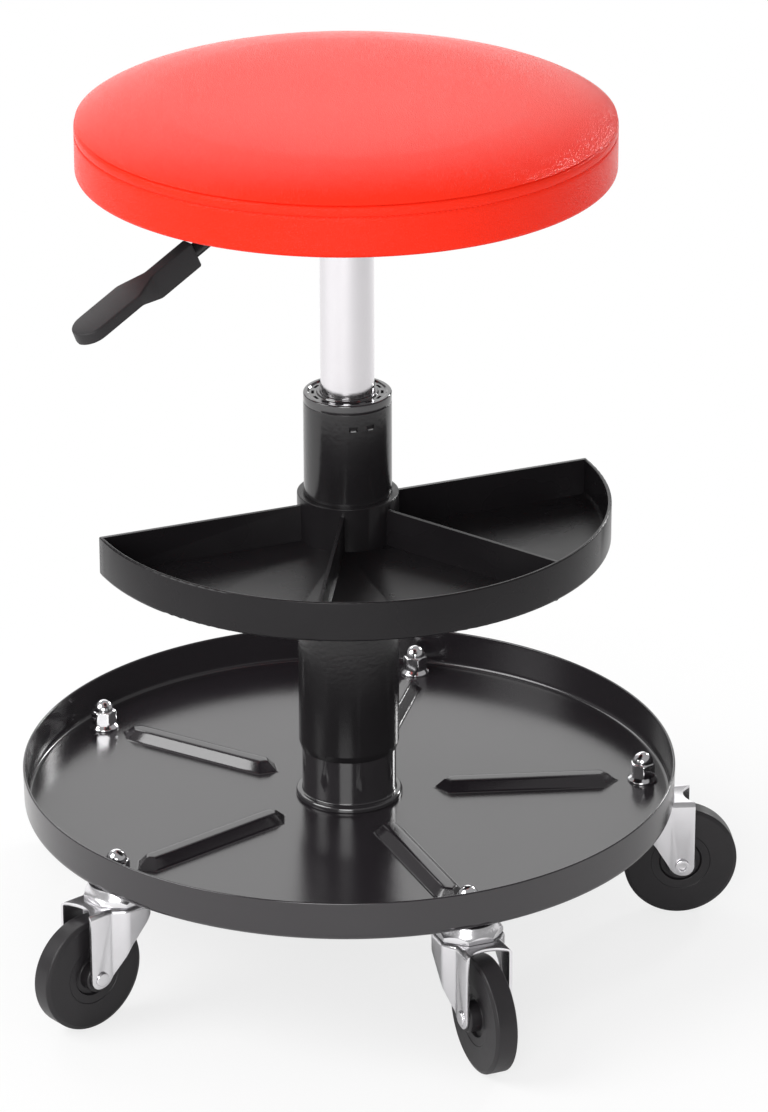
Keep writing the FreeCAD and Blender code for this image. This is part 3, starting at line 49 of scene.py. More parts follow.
# %% [markdown]
# ## The camera
# The photograph was taken from the front with a long lens, 23 degrees above
# the floor. Its place and its lens come from the outlines of the cushion, the
# pan and the nuts. The sensor's 36 mm lie along the picture's long side.

# %% Place the camera
EYE = (0.01445, -2.7685, 1.4125)                    # in metres
PITCH, YAW, TILT = 0.40296, 0.00214, -0.00202      # in radians
LENS, SENSOR = 171.06, 36.0                        # in mm

camera = bpy.data.objects.new("camera", bpy.data.cameras.new("camera"))
bpy.context.scene.collection.objects.link(camera)
camera.data.lens, camera.data.sensor_width = LENS, SENSOR
turn = Matrix.Rotation(-YAW, 3, "Z") @ Matrix.Rotation(math.pi / 2 - PITCH, 3, "X")
camera.rotation_euler = (turn @ Matrix.Rotation(TILT, 3, "Z")).to_euler()
camera.location = EYE
bpy.context.scene.camera = camera

# %% [markdown]
# ## Building node trees in Python
# A sum such as `0.2 + mask * 0.5` should look like a sum. Wire holds one output
# socket, and the signs + - * / on it add the Math nodes. Tree.add makes any
# other node: its settings come first, then the values or links of its sockets.

# %% Two small classes for node trees
class Wire:
    """One output of a node, which can be used in a Python sum."""

    def __init__(self, tree, socket):
        self.tree, self.socket = tree, socket

    def joined(self, operation, first, second):
        return self.tree.add("ShaderNodeMath", {"operation": operation}, {0: first, 1: second})

    def __add__(self, other):
        return self.joined("ADD", self, other)

    def __radd__(self, other):
        return self.joined("ADD", other, self)

    def __sub__(self, other):
        return self.joined("SUBTRACT", self, other)

    def __mul__(self, other):
        return self.joined("MULTIPLY", self, other)

    def __truediv__(self, other):
        return self.joined("DIVIDE", self, other)

    def output(self, name):
        """Another output of the same node."""
        return Wire(self.tree, self.socket.node.outputs[name])


class Tree:
    """A node tree and the methods that add to it."""

    def __init__(self, tree):
        self.tree = tree

    def feed(self, socket, value):
        """Link a wire to an input socket, or set the socket's value."""
        if isinstance(value, Wire):
            self.tree.links.new(value.socket, socket)
        else:
            socket.default_value = value

    def add(self, kind, settings=None, values=None, output=0):
        """A new node. What comes back is one of its outputs."""
        node = self.tree.nodes.new(kind)
        for name, value in (settings or {}).items():
            setattr(node, name, value)
        for name, value in (values or {}).items():
            self.feed(node.inputs[name], value)
        return Wire(self, node.outputs[output])


# %% [markdown]
# ## Finishes
# Each finish is one Principled shader. What varies over the surface, such as
# grain, orange peel or turning marks, comes from the Object coordinates, so
# the pattern keeps its real size and stays on the piece.

# %% A finish and its patterns
class Finish(Tree):
    """A material with one Principled shader and the patterns that feed it.
    The plain colour and roughness given first are what shows in a viewer that
    can't work out the patterns."""

    def __init__(self, name, colour, roughness, **constants):
        self.material = bpy.data.materials.new(name)
        self.material.use_nodes = True
        super().__init__(self.material.node_tree)
        self.shader = self.tree.nodes["Principled BSDF"]
        self.spot = self.add("ShaderNodeTexCoord", output="Object")
        self.set("Base Color", (*colour, 1))
        self.set("Roughness", roughness)
        for name, value in constants.items():
            self.set(name.replace("_", " "), value)

    def set(self, name, value):
        """Give one of the shader's inputs a value or a wire."""
        self.feed(self.shader.inputs[name], value)

    def vary(self, mask, plain, other):
        """One colour where the mask is 0 and the other where it is 1."""
        mixed = self.add("ShaderNodeMix", {"data_type": "RGBA"},
                         {0: mask, 6: (*plain, 1), 7: (*other, 1)}, output=2)
        self.set("Base Color", mixed)

    def relief(self, height, microns):
        """Raise the surface by so many microns where the height is 1."""
        self.set("Normal", self.add("ShaderNodeBump", None, {
            "Height": height, "Distance": microns * 1e-6, "Strength": 1.0}))

    def stretched(self, scale):
        """The Object coordinates, made longer or shorter along each axis."""
        return self.add("ShaderNodeMapping", None, {"Vector": self.spot, "Scale": scale})

    def noise(self, per_metre, detail, spot=None):
        """Soft noise with so many waves to the metre."""
        return self.add("ShaderNodeTexNoise", None, {
            "Vector": spot or self.spot, "Scale": per_metre, "Detail": detail})

    def cell_edges(self, per_metre):
        """The distance to the edge of the nearest cell."""
        return self.add("ShaderNodeTexVoronoi", {"feature": "DISTANCE_TO_EDGE"},
                        {"Vector": self.spot, "Scale": per_metre})

    def ramp(self, value, dark_until, light_from):
        """Black up to one value, white from another, and grey between them."""
        made = self.add("ShaderNodeValToRGB", None, {"Fac": value})
        stops = made.socket.node.color_ramp.elements
        stops[0].position, stops[1].position = dark_until, light_from
        return made


# %% [markdown]
# ### The red cover
# The cushion wears a coated fabric with a fine leather grain. Voronoi cells
# about a millimetre across give the pebbles, and their edges give the creases,
# which are also painted a little darker as shade. A slow noise varies the colour
# and the gloss a little.

# %% Red coated fabric
def red_cover():
    finish = Finish("red_cover", (0.90, 0.026, 0.008), 0.4, Specular_IOR_Level=0.1)
    creases = finish.cell_edges(800.0)
    pebbles = finish.ramp(creases, 0.0, 0.25)
    slow = finish.noise(14.0, 3.0)
    # Low at the creases, which paints shade there. The slow noise is tone that differs at random.
    mask = pebbles * 0.35 + slow * 0.4
    finish.vary(mask, (0.82, 0.022, 0.008), (0.93, 0.031, 0.011))
    finish.set("Roughness", 0.18 + slow * 0.12)
    fine = finish.noise(2600.0, 2.0)
    finish.relief(pebbles + fine * 0.5, 100)
    return finish.material


# %% [markdown]
# ### Paint, plastic and plating
# The column is sprayed gloss black with a trace of orange peel, the pan has a
# dark powder coat with a fine grit, and the tray and the wheels are moulded.
# Zinc plate is bright with cloudy patches, and the nuts are chromed.

# %% Black and grey finishes
def gloss_black():
    finish = Finish("gloss_black", (0.013, 0.012, 0.013), 0.2, Specular_IOR_Level=0.5)
    peel = finish.noise(420.0, 1.0)
    slow = finish.noise(30.0, 3.0)
    finish.set("Roughness", 0.14 + slow * 0.14)
    finish.vary(slow, (0.010, 0.009, 0.010), (0.016, 0.015, 0.016))
    finish.relief(peel, 50)
    return finish.material


def polished_black():
    finish = Finish("polished_black", (0.022, 0.020, 0.022), 0.1, Specular_IOR_Level=1.0)
    slow = finish.noise(60.0, 2.0)
    finish.vary(slow, (0.018, 0.016, 0.018), (0.026, 0.024, 0.026))
    finish.set("Roughness", 0.07 + slow * 0.06)
    return finish.material


def powder_coat():
    finish = Finish("powder_coat", (0.014, 0.012, 0.014), 0.2, Specular_IOR_Level=0.8)
    grit = finish.noise(1500.0, 3.0)
    slow = finish.noise(22.0, 3.0)
    finish.vary(grit, (0.010, 0.008, 0.010), (0.019, 0.016, 0.019))
    finish.set("Roughness", 0.12 + slow * 0.07 + grit * 0.04)
    finish.relief(grit, 30)
    return finish.material


def moulded_black():
    finish = Finish("moulded_black", (0.008, 0.007, 0.008), 0.3, Specular_IOR_Level=0.22)
    texture = finish.noise(2200.0, 2.0)
    slow = finish.noise(18.0, 3.0)
    finish.vary(slow, (0.006, 0.005, 0.006), (0.013, 0.012, 0.013))
    finish.set("Roughness", 0.22 + slow * 0.12)
    finish.relief(texture, 30)
    return finish.material


def wheel_grey():
    finish = Finish("wheel_grey", (0.012, 0.011, 0.012), 0.4, Specular_IOR_Level=0.4)
    texture = finish.noise(900.0, 3.0)
    slow = finish.noise(60.0, 3.0)
    finish.vary(slow, (0.011, 0.010, 0.011), (0.018, 0.016, 0.018))
    finish.set("Roughness", 0.32 + slow * 0.16)
    finish.relief(texture, 40)
    return finish.material


def handle_grey():
    finish = Finish("handle_grey", (0.021, 0.019, 0.021), 0.5, Specular_IOR_Level=0.3)
    texture = finish.noise(2400.0, 2.0)
    slow = finish.noise(40.0, 3.0)
    finish.vary(texture, (0.016, 0.015, 0.016), (0.026, 0.024, 0.026))
    finish.set("Roughness", 0.40 + slow * 0.10)
    finish.relief(texture, 50)
    return finish.material


# %% Bright finishes
def zinc_plate():
    finish = Finish("zinc_plate", (0.84, 0.84, 0.85), 0.25, Metallic=1.0)
    cloud = finish.noise(120.0, 4.0)
    rolled = finish.noise(60.0, 2.0, finish.stretched((1.0, 1.0, 14.0)))
    finish.vary(cloud, (0.76, 0.75, 0.77), (0.84, 0.83, 0.85))
    finish.set("Roughness", 0.20 + cloud * 0.05 + rolled * 0.04)
    return finish.material


def chrome_plate():
    finish = Finish("chrome_plate", (0.84, 0.83, 0.85), 0.12, Metallic=1.0)
    haze = finish.noise(200.0, 3.0)
    finish.set("Roughness", 0.08 + haze * 0.10)
    finish.relief(haze, 20)
    return finish.material


def satin_steel():
    finish = Finish("satin_steel", (0.70, 0.68, 0.70), 0.24, Metallic=1.0)
    lines = finish.noise(40.0, 3.0, finish.stretched((1.0, 1.0, 220.0)))
    cloud = finish.noise(25.0, 3.0)
    finish.vary(cloud, (0.68, 0.66, 0.68), (0.76, 0.74, 0.76))
    finish.set("Roughness", 0.14 + lines * 0.12)
    finish.relief(lines, 8)
    return finish.material


# %% Hidden and underside finishes
def plain_steel():
    finish = Finish("plain_steel", (0.55, 0.55, 0.56), 0.35, Metallic=1.0)
    marks = finish.noise(500.0, 3.0)
    finish.vary(marks, (0.45, 0.45, 0.46), (0.64, 0.64, 0.65))
    finish.set("Roughness", 0.25 + marks * 0.25)
    return finish.material


def black_cloth():
    finish = Finish("black_cloth", (0.02, 0.02, 0.02), 0.9, Sheen_Weight=0.2)
    fibres = finish.noise(1200.0, 4.0, finish.stretched((1.0, 4.0, 1.0)))
    finish.vary(fibres, (0.010, 0.010, 0.010), (0.05, 0.05, 0.05))
    finish.relief(fibres, 200)
    return finish.material


def plywood():
    finish = Finish("plywood", (0.45, 0.29, 0.15), 0.7)
    plies = finish.noise(8.0, 3.0, finish.stretched((1.0, 1.0, 60.0)))
    grain = finish.noise(60.0, 4.0, finish.stretched((1.0, 12.0, 1.0)))
    mask = plies * 0.6 + grain * 0.5
    finish.vary(mask, (0.30, 0.18, 0.09), (0.56, 0.39, 0.22))
    finish.relief(grain, 100)
    return finish.material


def soft_rubber():
    finish = Finish("soft_rubber", (0.02, 0.02, 0.02), 0.8)
    speck = finish.noise(700.0, 3.0)
    finish.vary(speck, (0.012, 0.012, 0.012), (0.03, 0.03, 0.03))
    finish.set("Roughness", 0.65 + speck * 0.25)
    return finish.material


red, gloss, coat, moulded = red_cover(), gloss_black(), powder_coat(), moulded_black()
wheel_plastic, handle_plastic, polished = wheel_grey(), handle_grey(), polished_black()
zinc, chrome, satin, steel = zinc_plate(), chrome_plate(), satin_steel(), plain_steel()
cloth, board_wood, rubber = black_cloth(), plywood(), soft_rubber()
print("finishes", len(bpy.data.materials))

# %% [markdown]
# ## Turned shapes
# Most of this stool is round: tubes, rings, the pan, the wheels. Each is a
# profile turned about an axis. The profile is drawn here as points with
# rounded corners, and a geometry node tree sweeps it round a circle.

# %% Rounded profiles
LONG_SIDE, SUPPORT = 5.0, 0.8       # in mm


def rounded(corners, steps=5):
    """Points in mm round a closed outline of (radius, height) corners. A third
    number rounds that corner, in so many steps."""
    points = []
    for index, corner in enumerate(corners):
        spot = Vector(corner[:2])
        if len(corner) < 3:
            points.append(spot)
            continue
        before = (Vector(corners[index - 1][:2]) - spot).normalized()
        after = (Vector(corners[(index + 1) % len(corners)][:2]) - spot).normalized()
        half = before.angle(after) / 2
        reach = corner[2] / math.tan(half)
        centre = spot + (before + after).normalized() * corner[2] / math.sin(half)
        start, end = spot + before * reach - centre, spot + after * reach - centre
        sweep = start.angle(end)
        for step in range(steps + 1):
            share = step / steps
            near = start * math.sin((1 - share) * sweep) + end * math.sin(share * sweep)
            points.append(centre + near / math.sin(sweep))
    return points


def supported(points):
    """The outline with a point near each end of a long side, so that the smooth
    shading of a rounding stays at the rounding."""
    line = []
    for index, point in enumerate(points):
        line.append(point)
        after = points[(index + 1) % len(points)]
        if (after - point).length > LONG_SIDE:
            step = (after - point).normalized() * SUPPORT
            line += [point + step, after - step]
    return line


# %% The tree that turns a profile
WELD = 1e-6         # points this close, in metres, are one


def group_with(name, inputs):
    """A geometry node tree with a geometry input and these named ones."""
    tree = bpy.data.node_groups.new(name, "GeometryNodeTree")
    face = tree.interface
    face.new_socket("Geometry", in_out="INPUT", socket_type="NodeSocketGeometry")
    for label, kind in inputs:
        face.new_socket(label, in_out="INPUT", socket_type="NodeSocket" + kind)
    face.new_socket("Geometry", in_out="OUTPUT", socket_type="NodeSocketGeometry")
    made = Tree(tree)
    return made, made.add("NodeGroupInput")


def closed_with(made, shape, material):
    """End a tree in Realize Instances and Set Material."""
    real = made.add("GeometryNodeRealizeInstances", None, {"Geometry": shape})
    dressed = made.add("GeometryNodeSetMaterial", None, {"Geometry": real, "Material": material})
    end = made.tree.nodes.new("NodeGroupOutput")
    made.tree.links.new(dressed.socket, end.inputs["Geometry"])
    return made.tree


def turning_tree():
    """Sweep a profile round a circle and close the seam."""
    made, given = group_with("turn a profile", [
        ("Steps", "Int"), ("Circle", "Float"), ("Material", "Material")])
    circle = made.add("GeometryNodeCurvePrimitiveCircle", None, {
        "Resolution": given.output("Steps"), "Radius": given.output("Circle")})
    upright = made.add("GeometryNodeSetCurveNormal", {"mode": "Z_UP"}, {"Curve": circle})
    profile = made.add("GeometryNodeMeshToCurve", None, {"Mesh": given})
    skin = made.add("GeometryNodeCurveToMesh", None, {
        "Curve": upright, "Profile Curve": profile})
    merged = made.add("GeometryNodeMergeByDistance", None, {"Geometry": skin, "Distance": WELD})
    return closed_with(made, merged, given.output("Material"))


turning = turning_tree()


# %% Turning a profile into a mesh
def holding(mesh):
    """An object that holds a mesh while modifiers work on it."""
    holder = bpy.data.objects.new("holder", mesh)
    bpy.context.scene.collection.objects.link(holder)
    return holder


def worked_out(holder, *others):
    """The plain mesh that a holder's modifiers make. The holders go."""
    bpy.context.view_layer.update()
    ready = holder.evaluated_get(bpy.context.evaluated_depsgraph_get())
    made = bpy.data.meshes.new_from_object(ready)
    for used in (holder, *others):
        bpy.data.objects.remove(used)
    return made


def through(tree, mesh, inputs):
    """The plain mesh that a tree makes of a mesh."""
    holder = holding(mesh)
    modifier = holder.modifiers.new("nodes", "NODES")
    modifier.node_group = tree
    for item in tree.interface.items_tree:
        if item.item_type == "SOCKET" and item.in_out == "INPUT" and item.name in inputs:
            modifier[item.identifier] = inputs[item.name]
    return worked_out(holder)


def tidy(mesh, material, sharp=40.0):
    """Close the seams, point the faces outwards and smooth the round parts."""
    form = bmesh.new()
    form.from_mesh(mesh)
    bmesh.ops.remove_doubles(form, verts=form.verts, dist=WELD)
    bmesh.ops.recalc_face_normals(form, faces=form.faces)
    form.to_mesh(mesh)
    form.free()
    mesh.shade_smooth()
    mesh.set_sharp_from_angle(angle=math.radians(sharp))
    mesh.materials.clear()
    mesh.materials.append(material)
    return mesh


SWEEP_CIRCLE = 0.5      # the profile runs along a circle of this radius, in metres


def swept(line, material, steps, closed=False):
    """A line of (radius, height) points in mm, turned about the Z axis."""
    profile = bpy.data.meshes.new("profile")
    edges = [(i, i + 1) for i in range(len(line) - 1)]
    if closed:
        edges.append((len(line) - 1, 0))
    spots = [point * MM for point in line]
    profile.from_pydata([(p[0] - SWEEP_CIRCLE, -p[1], 0) for p in spots], edges, [])
    mesh = through(turning, profile, {
        "Steps": steps, "Circle": SWEEP_CIRCLE, "Material": material})
    return tidy(mesh, material)


def turned(corners, material, steps, rounding=5):
    """A closed outline with rounded corners, turned about the Z axis."""
    return swept(supported(rounded(corners, rounding)), material, steps, closed=True)


def piece(name, mesh, body, nodes=()):
    """Add a finished piece, which stands for CAD nodes and rides on a body."""
    made = bpy.data.objects.new(name, mesh)
    bpy.context.scene.collection.objects.link(made)
    if nodes:
        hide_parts(*nodes)
    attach(made, body)
    low = [min(v.co[i] for v in mesh.vertices) for i in range(3)]
    high = [max(v.co[i] for v in mesh.vertices) for i in range(3)]
    print(name, len(mesh.polygons), [round(v, 4) for v in low + high])
    return made


# %% [markdown]
# ## Things that repeat round the axis
# Nuts, ribs, slots, staples and stitches all stand round one axis. One tree
# puts copies of a shape on points of a circle, turns each to face outwards,
# and can tilt each a little at random, with a fixed seed.

# %% The tree that repeats a shape
def repeating_tree():
    """Put copies of a shape round the axis, each turned to its own heading."""
    made, given = group_with("repeat round the axis", [
        ("Count", "Int"), ("Radius", "Float"), ("First", "Float"), ("Height", "Float"),
        ("Jitter", "Float"), ("Seed", "Int"), ("Material", "Material")])
    number = made.add("GeometryNodeInputIndex")
    heading = given.output("First") + number * (2 * math.pi) / given.output("Count")
    across = made.add("ShaderNodeMath", {"operation": "COSINE"}, {0: heading})
    along = made.add("ShaderNodeMath", {"operation": "SINE"}, {0: heading})
    radius = given.output("Radius")
    spot = made.add("ShaderNodeCombineXYZ", None, {
        "X": across * radius, "Y": along * radius, "Z": given.output("Height")})
    points = made.add("GeometryNodePoints", None, {
        "Count": given.output("Count"), "Position": spot})
    loose = made.add("FunctionNodeRandomValue", {"data_type": "FLOAT"}, {
        2: -1.0, 3: 1.0, "ID": number, "Seed": given.output("Seed")}, output=1)
    turn = made.add("ShaderNodeCombineXYZ", None, {
        "X": loose * given.output("Jitter"), "Z": heading})
    rotation = made.add("FunctionNodeEulerToRotation", None, {"Euler": turn})
    copies = made.add("GeometryNodeInstanceOnPoints", None, {
        "Points": points, "Instance": given, "Rotation": rotation})
    return closed_with(made, copies, given.output("Material"))


repeating = repeating_tree()


def repeated(mesh, material, count, radius=0.0, first=0.0, height=0.0, jitter=0.0, seed=1):
    """Copies of a shape that is drawn pointing along X, round the axis."""
    mesh.materials.clear()
    mesh.materials.append(material)
    copies = through(repeating, mesh, {
        "Count": count, "Radius": radius * MM, "First": math.radians(first),
        "Height": height * MM, "Jitter": jitter, "Seed": seed, "Material": material})
    return tidy(copies, material)


# %% Meshes from rows of points
def rows_mesh(rows, cap_first=False, cap_last=False):
    """A skin over rows of points in mm. Each row closes on itself."""
    count = len(rows[0])
    points = [tuple(v * MM for v in point) for row in rows for point in row]
    faces = []
    for level in range(len(rows) - 1):
        for i in range(count):
            j = (i + 1) % count
            low, high = level * count, (level + 1) * count
            faces.append((low + i, low + j, high + j, high + i))
    if cap_first:
        faces.append(tuple(range(count))[::-1])
    if cap_last:
        top = (len(rows) - 1) * count
        faces.append(tuple(range(top, top + count)))
    mesh = bpy.data.meshes.new("skin")
    mesh.from_pydata(points, [], faces)
    return mesh


def joined(meshes):
    """Several meshes as one."""
    form = bmesh.new()
    for mesh in meshes:
        form.from_mesh(mesh)
    made = bpy.data.meshes.new("joined")
    form.to_mesh(made)
    form.free()
    return made


# %% [markdown]
# ## Shapes that the CAD model already has
# The tray, the lever's rod and the casters' forks, rivets and stems have the
# right shape in the CAD model, but its mesh is loose triangles with knife
# edges. A copy is welded, its flat faces are made whole, and a small bevel
# rounds every edge, as on real parts.

# %% Softening a copy of a CAD node
FLAT, BEVELLED, SHARP = (math.radians(degrees) for degrees in (0.4, 32.0, 30.0))


def softened(node, material, edge):
    """A copy of a CAD node with its edges rounded, by so many mm."""
    form = bmesh.new()
    form.from_mesh(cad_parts[node].data)
    bmesh.ops.remove_doubles(form, verts=form.verts, dist=2 * WELD)
    bmesh.ops.dissolve_limit(form, angle_limit=FLAT, verts=form.verts, edges=form.edges)
    mesh = bpy.data.meshes.new(node + "_soft")
    form.to_mesh(mesh)
    form.free()
    holder = holding(mesh)
    bevel = holder.modifiers.new("edges", "BEVEL")
    bevel.width, bevel.segments = edge * MM, 2
    bevel.limit_method, bevel.angle_limit = "ANGLE", BEVELLED
    made = worked_out(holder)
    made.shade_smooth()
    made.set_sharp_from_angle(angle=SHARP)
    made.materials.clear()
    made.materials.append(material)
    return made


# %% [markdown]
# ## The gas spring
# A bright cylinder stands in a black tube. A black plastic ring with a circle
# of slots guides it. The tube has two small windows. A dark patch inside each
# is painted shade of the recess, and each window has the bright edge of a tab.

# %% Cylinder
piece("cylinder", turned([
    (13.7, 190.0), (15.2, 190.0, 0.5), (15.2, 421.0), (14.4, 446.0, 0.6), (4.05, 446.0),
    (4.05, 438.0), (13.7, 438.0)], satin, 128), "seat", ["cylinder_tube"])

# %% Column tube with its two windows
TUBE_INSIDE, TUBE_OUTSIDE, COLUMN_TOP = 23.5, 25.0, 328.2
WINDOWS, WINDOW_WIDTH = (277.8, 301.1), 4.8     # headings in degrees, width in mm
WINDOW_LOW, WINDOW_HIGH = 318.1, 320.9
GAP = 0.05                                      # between a window and its painted-shade patch


def box_mesh(inner, outer, width, low, high):
    """A box that reaches from one radius to another, in mm."""
    rows = [[(inner, -width / 2, z), (outer, -width / 2, z), (outer, width / 2, z),
             (inner, width / 2, z)] for z in (low, high)]
    return rows_mesh(rows, True, True)


def cut_by(mesh, cutter):
    """The first mesh less the second."""
    holder, tool = holding(mesh), holding(cutter)
    boolean = holder.modifiers.new("cut", "BOOLEAN")
    boolean.operation, boolean.object, boolean.solver = "DIFFERENCE", tool, "EXACT"
    return worked_out(holder, tool)


def in_windows(*box):
    """A box for each window, turned to its heading."""
    boxes = []
    for heading in WINDOWS:
        mesh = box_mesh(*box)
        mesh.transform(Matrix.Rotation(math.radians(heading), 4, "Z"))
        boxes.append(mesh)
    return boxes


column = turned([
    (TUBE_INSIDE, 60.5), (TUBE_OUTSIDE, 60.5, 0.3), (TUBE_OUTSIDE, COLUMN_TOP, 0.35),
    (TUBE_INSIDE, COLUMN_TOP)], gloss, 180)
for window in in_windows(23.65, 26.0, WINDOW_WIDTH, WINDOW_LOW, WINDOW_HIGH):
    column = cut_by(column, window)
piece("column_tube_piece", tidy(column, gloss), "base", ["column_tube"])

# A dark box in each window is painted shade of the recess, not a real part.
fill_low, fill_high = WINDOW_LOW + GAP, WINDOW_HIGH - GAP
shade_patches = in_windows(23.55, 23.9, WINDOW_WIDTH - 2 * GAP, fill_low, fill_high)
piece("window_shade_patches", tidy(joined(shade_patches), moulded), "base")
tabs = in_windows(23.9, 25.3, 3.0, fill_low, fill_low + 0.6)
piece("ring_tabs", tidy(joined(tabs), steel), "base")

# %% Guide ring with its slots
SLOTS, SLOT_INSIDE, SLOT_OUTSIDE, SLOT_HALF = 14, 18.8, 20.4, 7     # half a slot, in degrees

guide = turned([
    (15.28, 258.2), (TUBE_INSIDE, 258.2), (TUBE_INSIDE, COLUMN_TOP),
    (TUBE_OUTSIDE, COLUMN_TOP, 0.15), (TUBE_OUTSIDE, 333.6, 0.8), (22.6, 333.6, 0.5),
    (21.6, 332.7, 0.3), (17.6, 332.7, 0.3), (17.0, 333.6, 0.3), (15.98, 333.6, 0.2),
    (15.28, 332.9)], polished, 240)


def slot_cutter(low=331.0, high=334.5, steps=8):
    """A curved bar as long as one slot."""
    there = [math.radians(-SLOT_HALF + 2 * SLOT_HALF * i / steps) for i in range(steps + 1)]
    outline = [(SLOT_OUTSIDE, angle) for angle in there]
    outline += [(SLOT_INSIDE, angle) for angle in there[::-1]]
    return rows_mesh([[(radius * math.cos(angle), radius * math.sin(angle), height)
                       for radius, angle in outline] for height in (low, high)], True, True)


cutters = repeated(slot_cutter(), polished, SLOTS, first=0.1)
piece("guide_ring", tidy(cut_by(guide, cutters), polished, 30.0), "base",
      ["column_bushing"])

# %% Sleeve and base tube
sleeve = turned([
    (25.1, 244.6), (28.96, 244.6, 0.5), (28.96, 118.6, 1.0), (27.8, 114.6, 0.3), (27.3, 114.6),
    (27.3, 205.0), (25.1, 205.0)], gloss, 160)
piece("sleeve", sleeve, "base", ["column_sleeve"])

base_tube = turned([
    (25.1, 205.0), (25.1, 60.5), (20.0, 60.5), (20.0, 58.0, 0.5), (27.2, 58.0, 0.8),
    (27.2, 84.3), (30.9, 84.3, 0.4), (30.85, 87.7, 1.9), (27.2, 87.75, 0.9), (27.2, 205.0, 0.4)],
    polished, 160)
piece("base_tube_piece", base_tube, "base", ["base_tube"])

# %% [markdown]
# ## The tool tray
# A half-moon moulded in one piece, with a collar that turns on the sleeve.

# %% Tray
tray = softened("tool_tray", moulded, 0.45)
piece("tray", tray, "tray", ["tool_tray"])

# %% [markdown]
# ## The pan and its ribs
# The pan is a turned sheet with a raised wall. Five ribs are pressed up from
# below: long hexagons with sloping sides, soft where they leave the floor.

# %% Where things stand on the pan
FLOOR = 84.3                                # the pan's floor
CASTERS, CASTER_TURN, STEM_CIRCLE = range(1, 6), 4.69, 171.4
RIB_HALF, RIB_POINT = 8.25, 7.5             # half a rib's width, and its point's length
RIB_START, RIB_END = 49.8, 156.1            # a rib's points, as radii


# %% Ribs and pan
def rib_row(inset, height):
    """One level of a rib: a pointed outline set in by so much."""
    slant = math.hypot(RIB_POINT, RIB_HALF)
    shift_tip = inset * slant / RIB_HALF
    shift_side = inset * (slant - RIB_POINT) / RIB_HALF
    near, far = RIB_START + RIB_POINT + shift_side, RIB_END - RIB_POINT - shift_side
    side = RIB_HALF - inset
    return [(RIB_START + shift_tip, 0, height), (near, -side, height), (far, -side, height),
            (RIB_END - shift_tip, 0, height), (far, side, height), (near, side, height)]


def fine_row(row, pieces=8):
    """The same outline with each side in shorter parts."""
    points = []
    for index, point in enumerate(row):
        after = row[(index + 1) % len(row)]
        for step in range(pieces):
            share = step / pieces
            points.append(tuple(a + (b - a) * share for a, b in zip(point, after)))
    return points


# How far each level is set in, and how far it is above the floor.
RIB_STEPS = ((-1.3, 0.02), (-0.6, 0.15), (0.0, 0.5), (0.5, 1.05), (3.7, 4.75), (4.15, 5.2),
             (4.7, 5.55), (5.5, 5.75), (6.5, 5.8), (7.4, 5.8))
rib = rows_mesh([fine_row(rib_row(inset, FLOOR + rise)) for inset, rise in RIB_STEPS], False, True)
ribs = repeated(rib, coat, len(CASTERS), first=CASTER_TURN)
pan = turned([
    (27.25, 82.8), (188.1, 82.8, 4.0), (188.6, 106.3, 0.7), (187.1, 106.3, 0.7),
    (186.6, FLOOR, 2.5), (27.25, FLOOR)], coat, 240, rounding=6)
pan = joined([pan, ribs])       # both are tidy, and the ribs' faces stay as they are
pan.materials.append(coat)
pan.shade_smooth()
pan.set_sharp_from_angle(angle=math.radians(40.0))
piece("pan", pan, "base", ["base_pan"])

# %% Cap nuts
NUT_FLATS, HEXAGON_LOW, HEXAGON_HIGH, NUT_SIDES = 13.0, 2.9, 11.2, 72
# The radius at each height: flange, hexagon with rounded corners, and cap.
NUT_LEVELS = (
    (0.0, 8.6), (0.25, 8.75), (1.05, 8.75), (1.3, 8.6), (1.7, 8.1), (2.9, 7.0), (3.3, 7.3),
    (3.9, 7.6), (10.4, 7.6), (10.9, 7.1), (11.2, 6.55), (11.3, 6.2), (11.5, 5.95), (12.4, 5.9),
    (13.6, 5.65), (14.9, 4.9), (16.0, 3.9), (16.9, 2.6), (17.4, 1.5), (17.63, 0.5))


def hexagon_reach(angle):
    """Distance from a nut's middle to its hexagon's side, in a direction."""
    return NUT_FLATS / 2 / math.cos((angle + math.pi / 6) % (math.pi / 3) - math.pi / 6)


def nut_mesh():
    """A cap nut, drawn about the Z axis on the pan's floor."""
    angles = [2 * math.pi * side / NUT_SIDES for side in range(NUT_SIDES)]
    rows = []
    for height, radius in NUT_LEVELS:
        row = []
        for angle in angles:
            reach = radius
            if HEXAGON_LOW <= height <= HEXAGON_HIGH:
                reach = min(radius, hexagon_reach(angle))
            row.append((reach * math.cos(angle), reach * math.sin(angle), FLOOR + height))
        rows.append(row)
    return rows_mesh(rows, True, True)


nuts = repeated(nut_mesh(), chrome, len(CASTERS), radius=STEM_CIRCLE, first=CASTER_TURN)
piece("nuts", nuts, "base", ["cap_nuts"])

# %% [markdown]
# ## Casters
# Each caster has a hexagonal cup with its stem, a pressed fork, a rivet and a
# moulded wheel. The wheel is drawn once and copied to its five places. The
# rest are softened copies of the CAD shapes.

# %% Wheels
AXLE_HEIGHT, TRAIL = 33.3, 22.6


def at_caster(mesh, number, reach):
    """A copy of a mesh, drawn about its own upright axis, at one caster."""
    heading = math.radians(CASTER_TURN + 360 / len(CASTERS) * (number - 1))
    copy = mesh.copy()
    place = Matrix.Rotation(heading, 4, "Z")
    place.translation = (reach * MM * math.cos(heading), reach * MM * math.sin(heading), 0)
    copy.transform(place)
    return copy


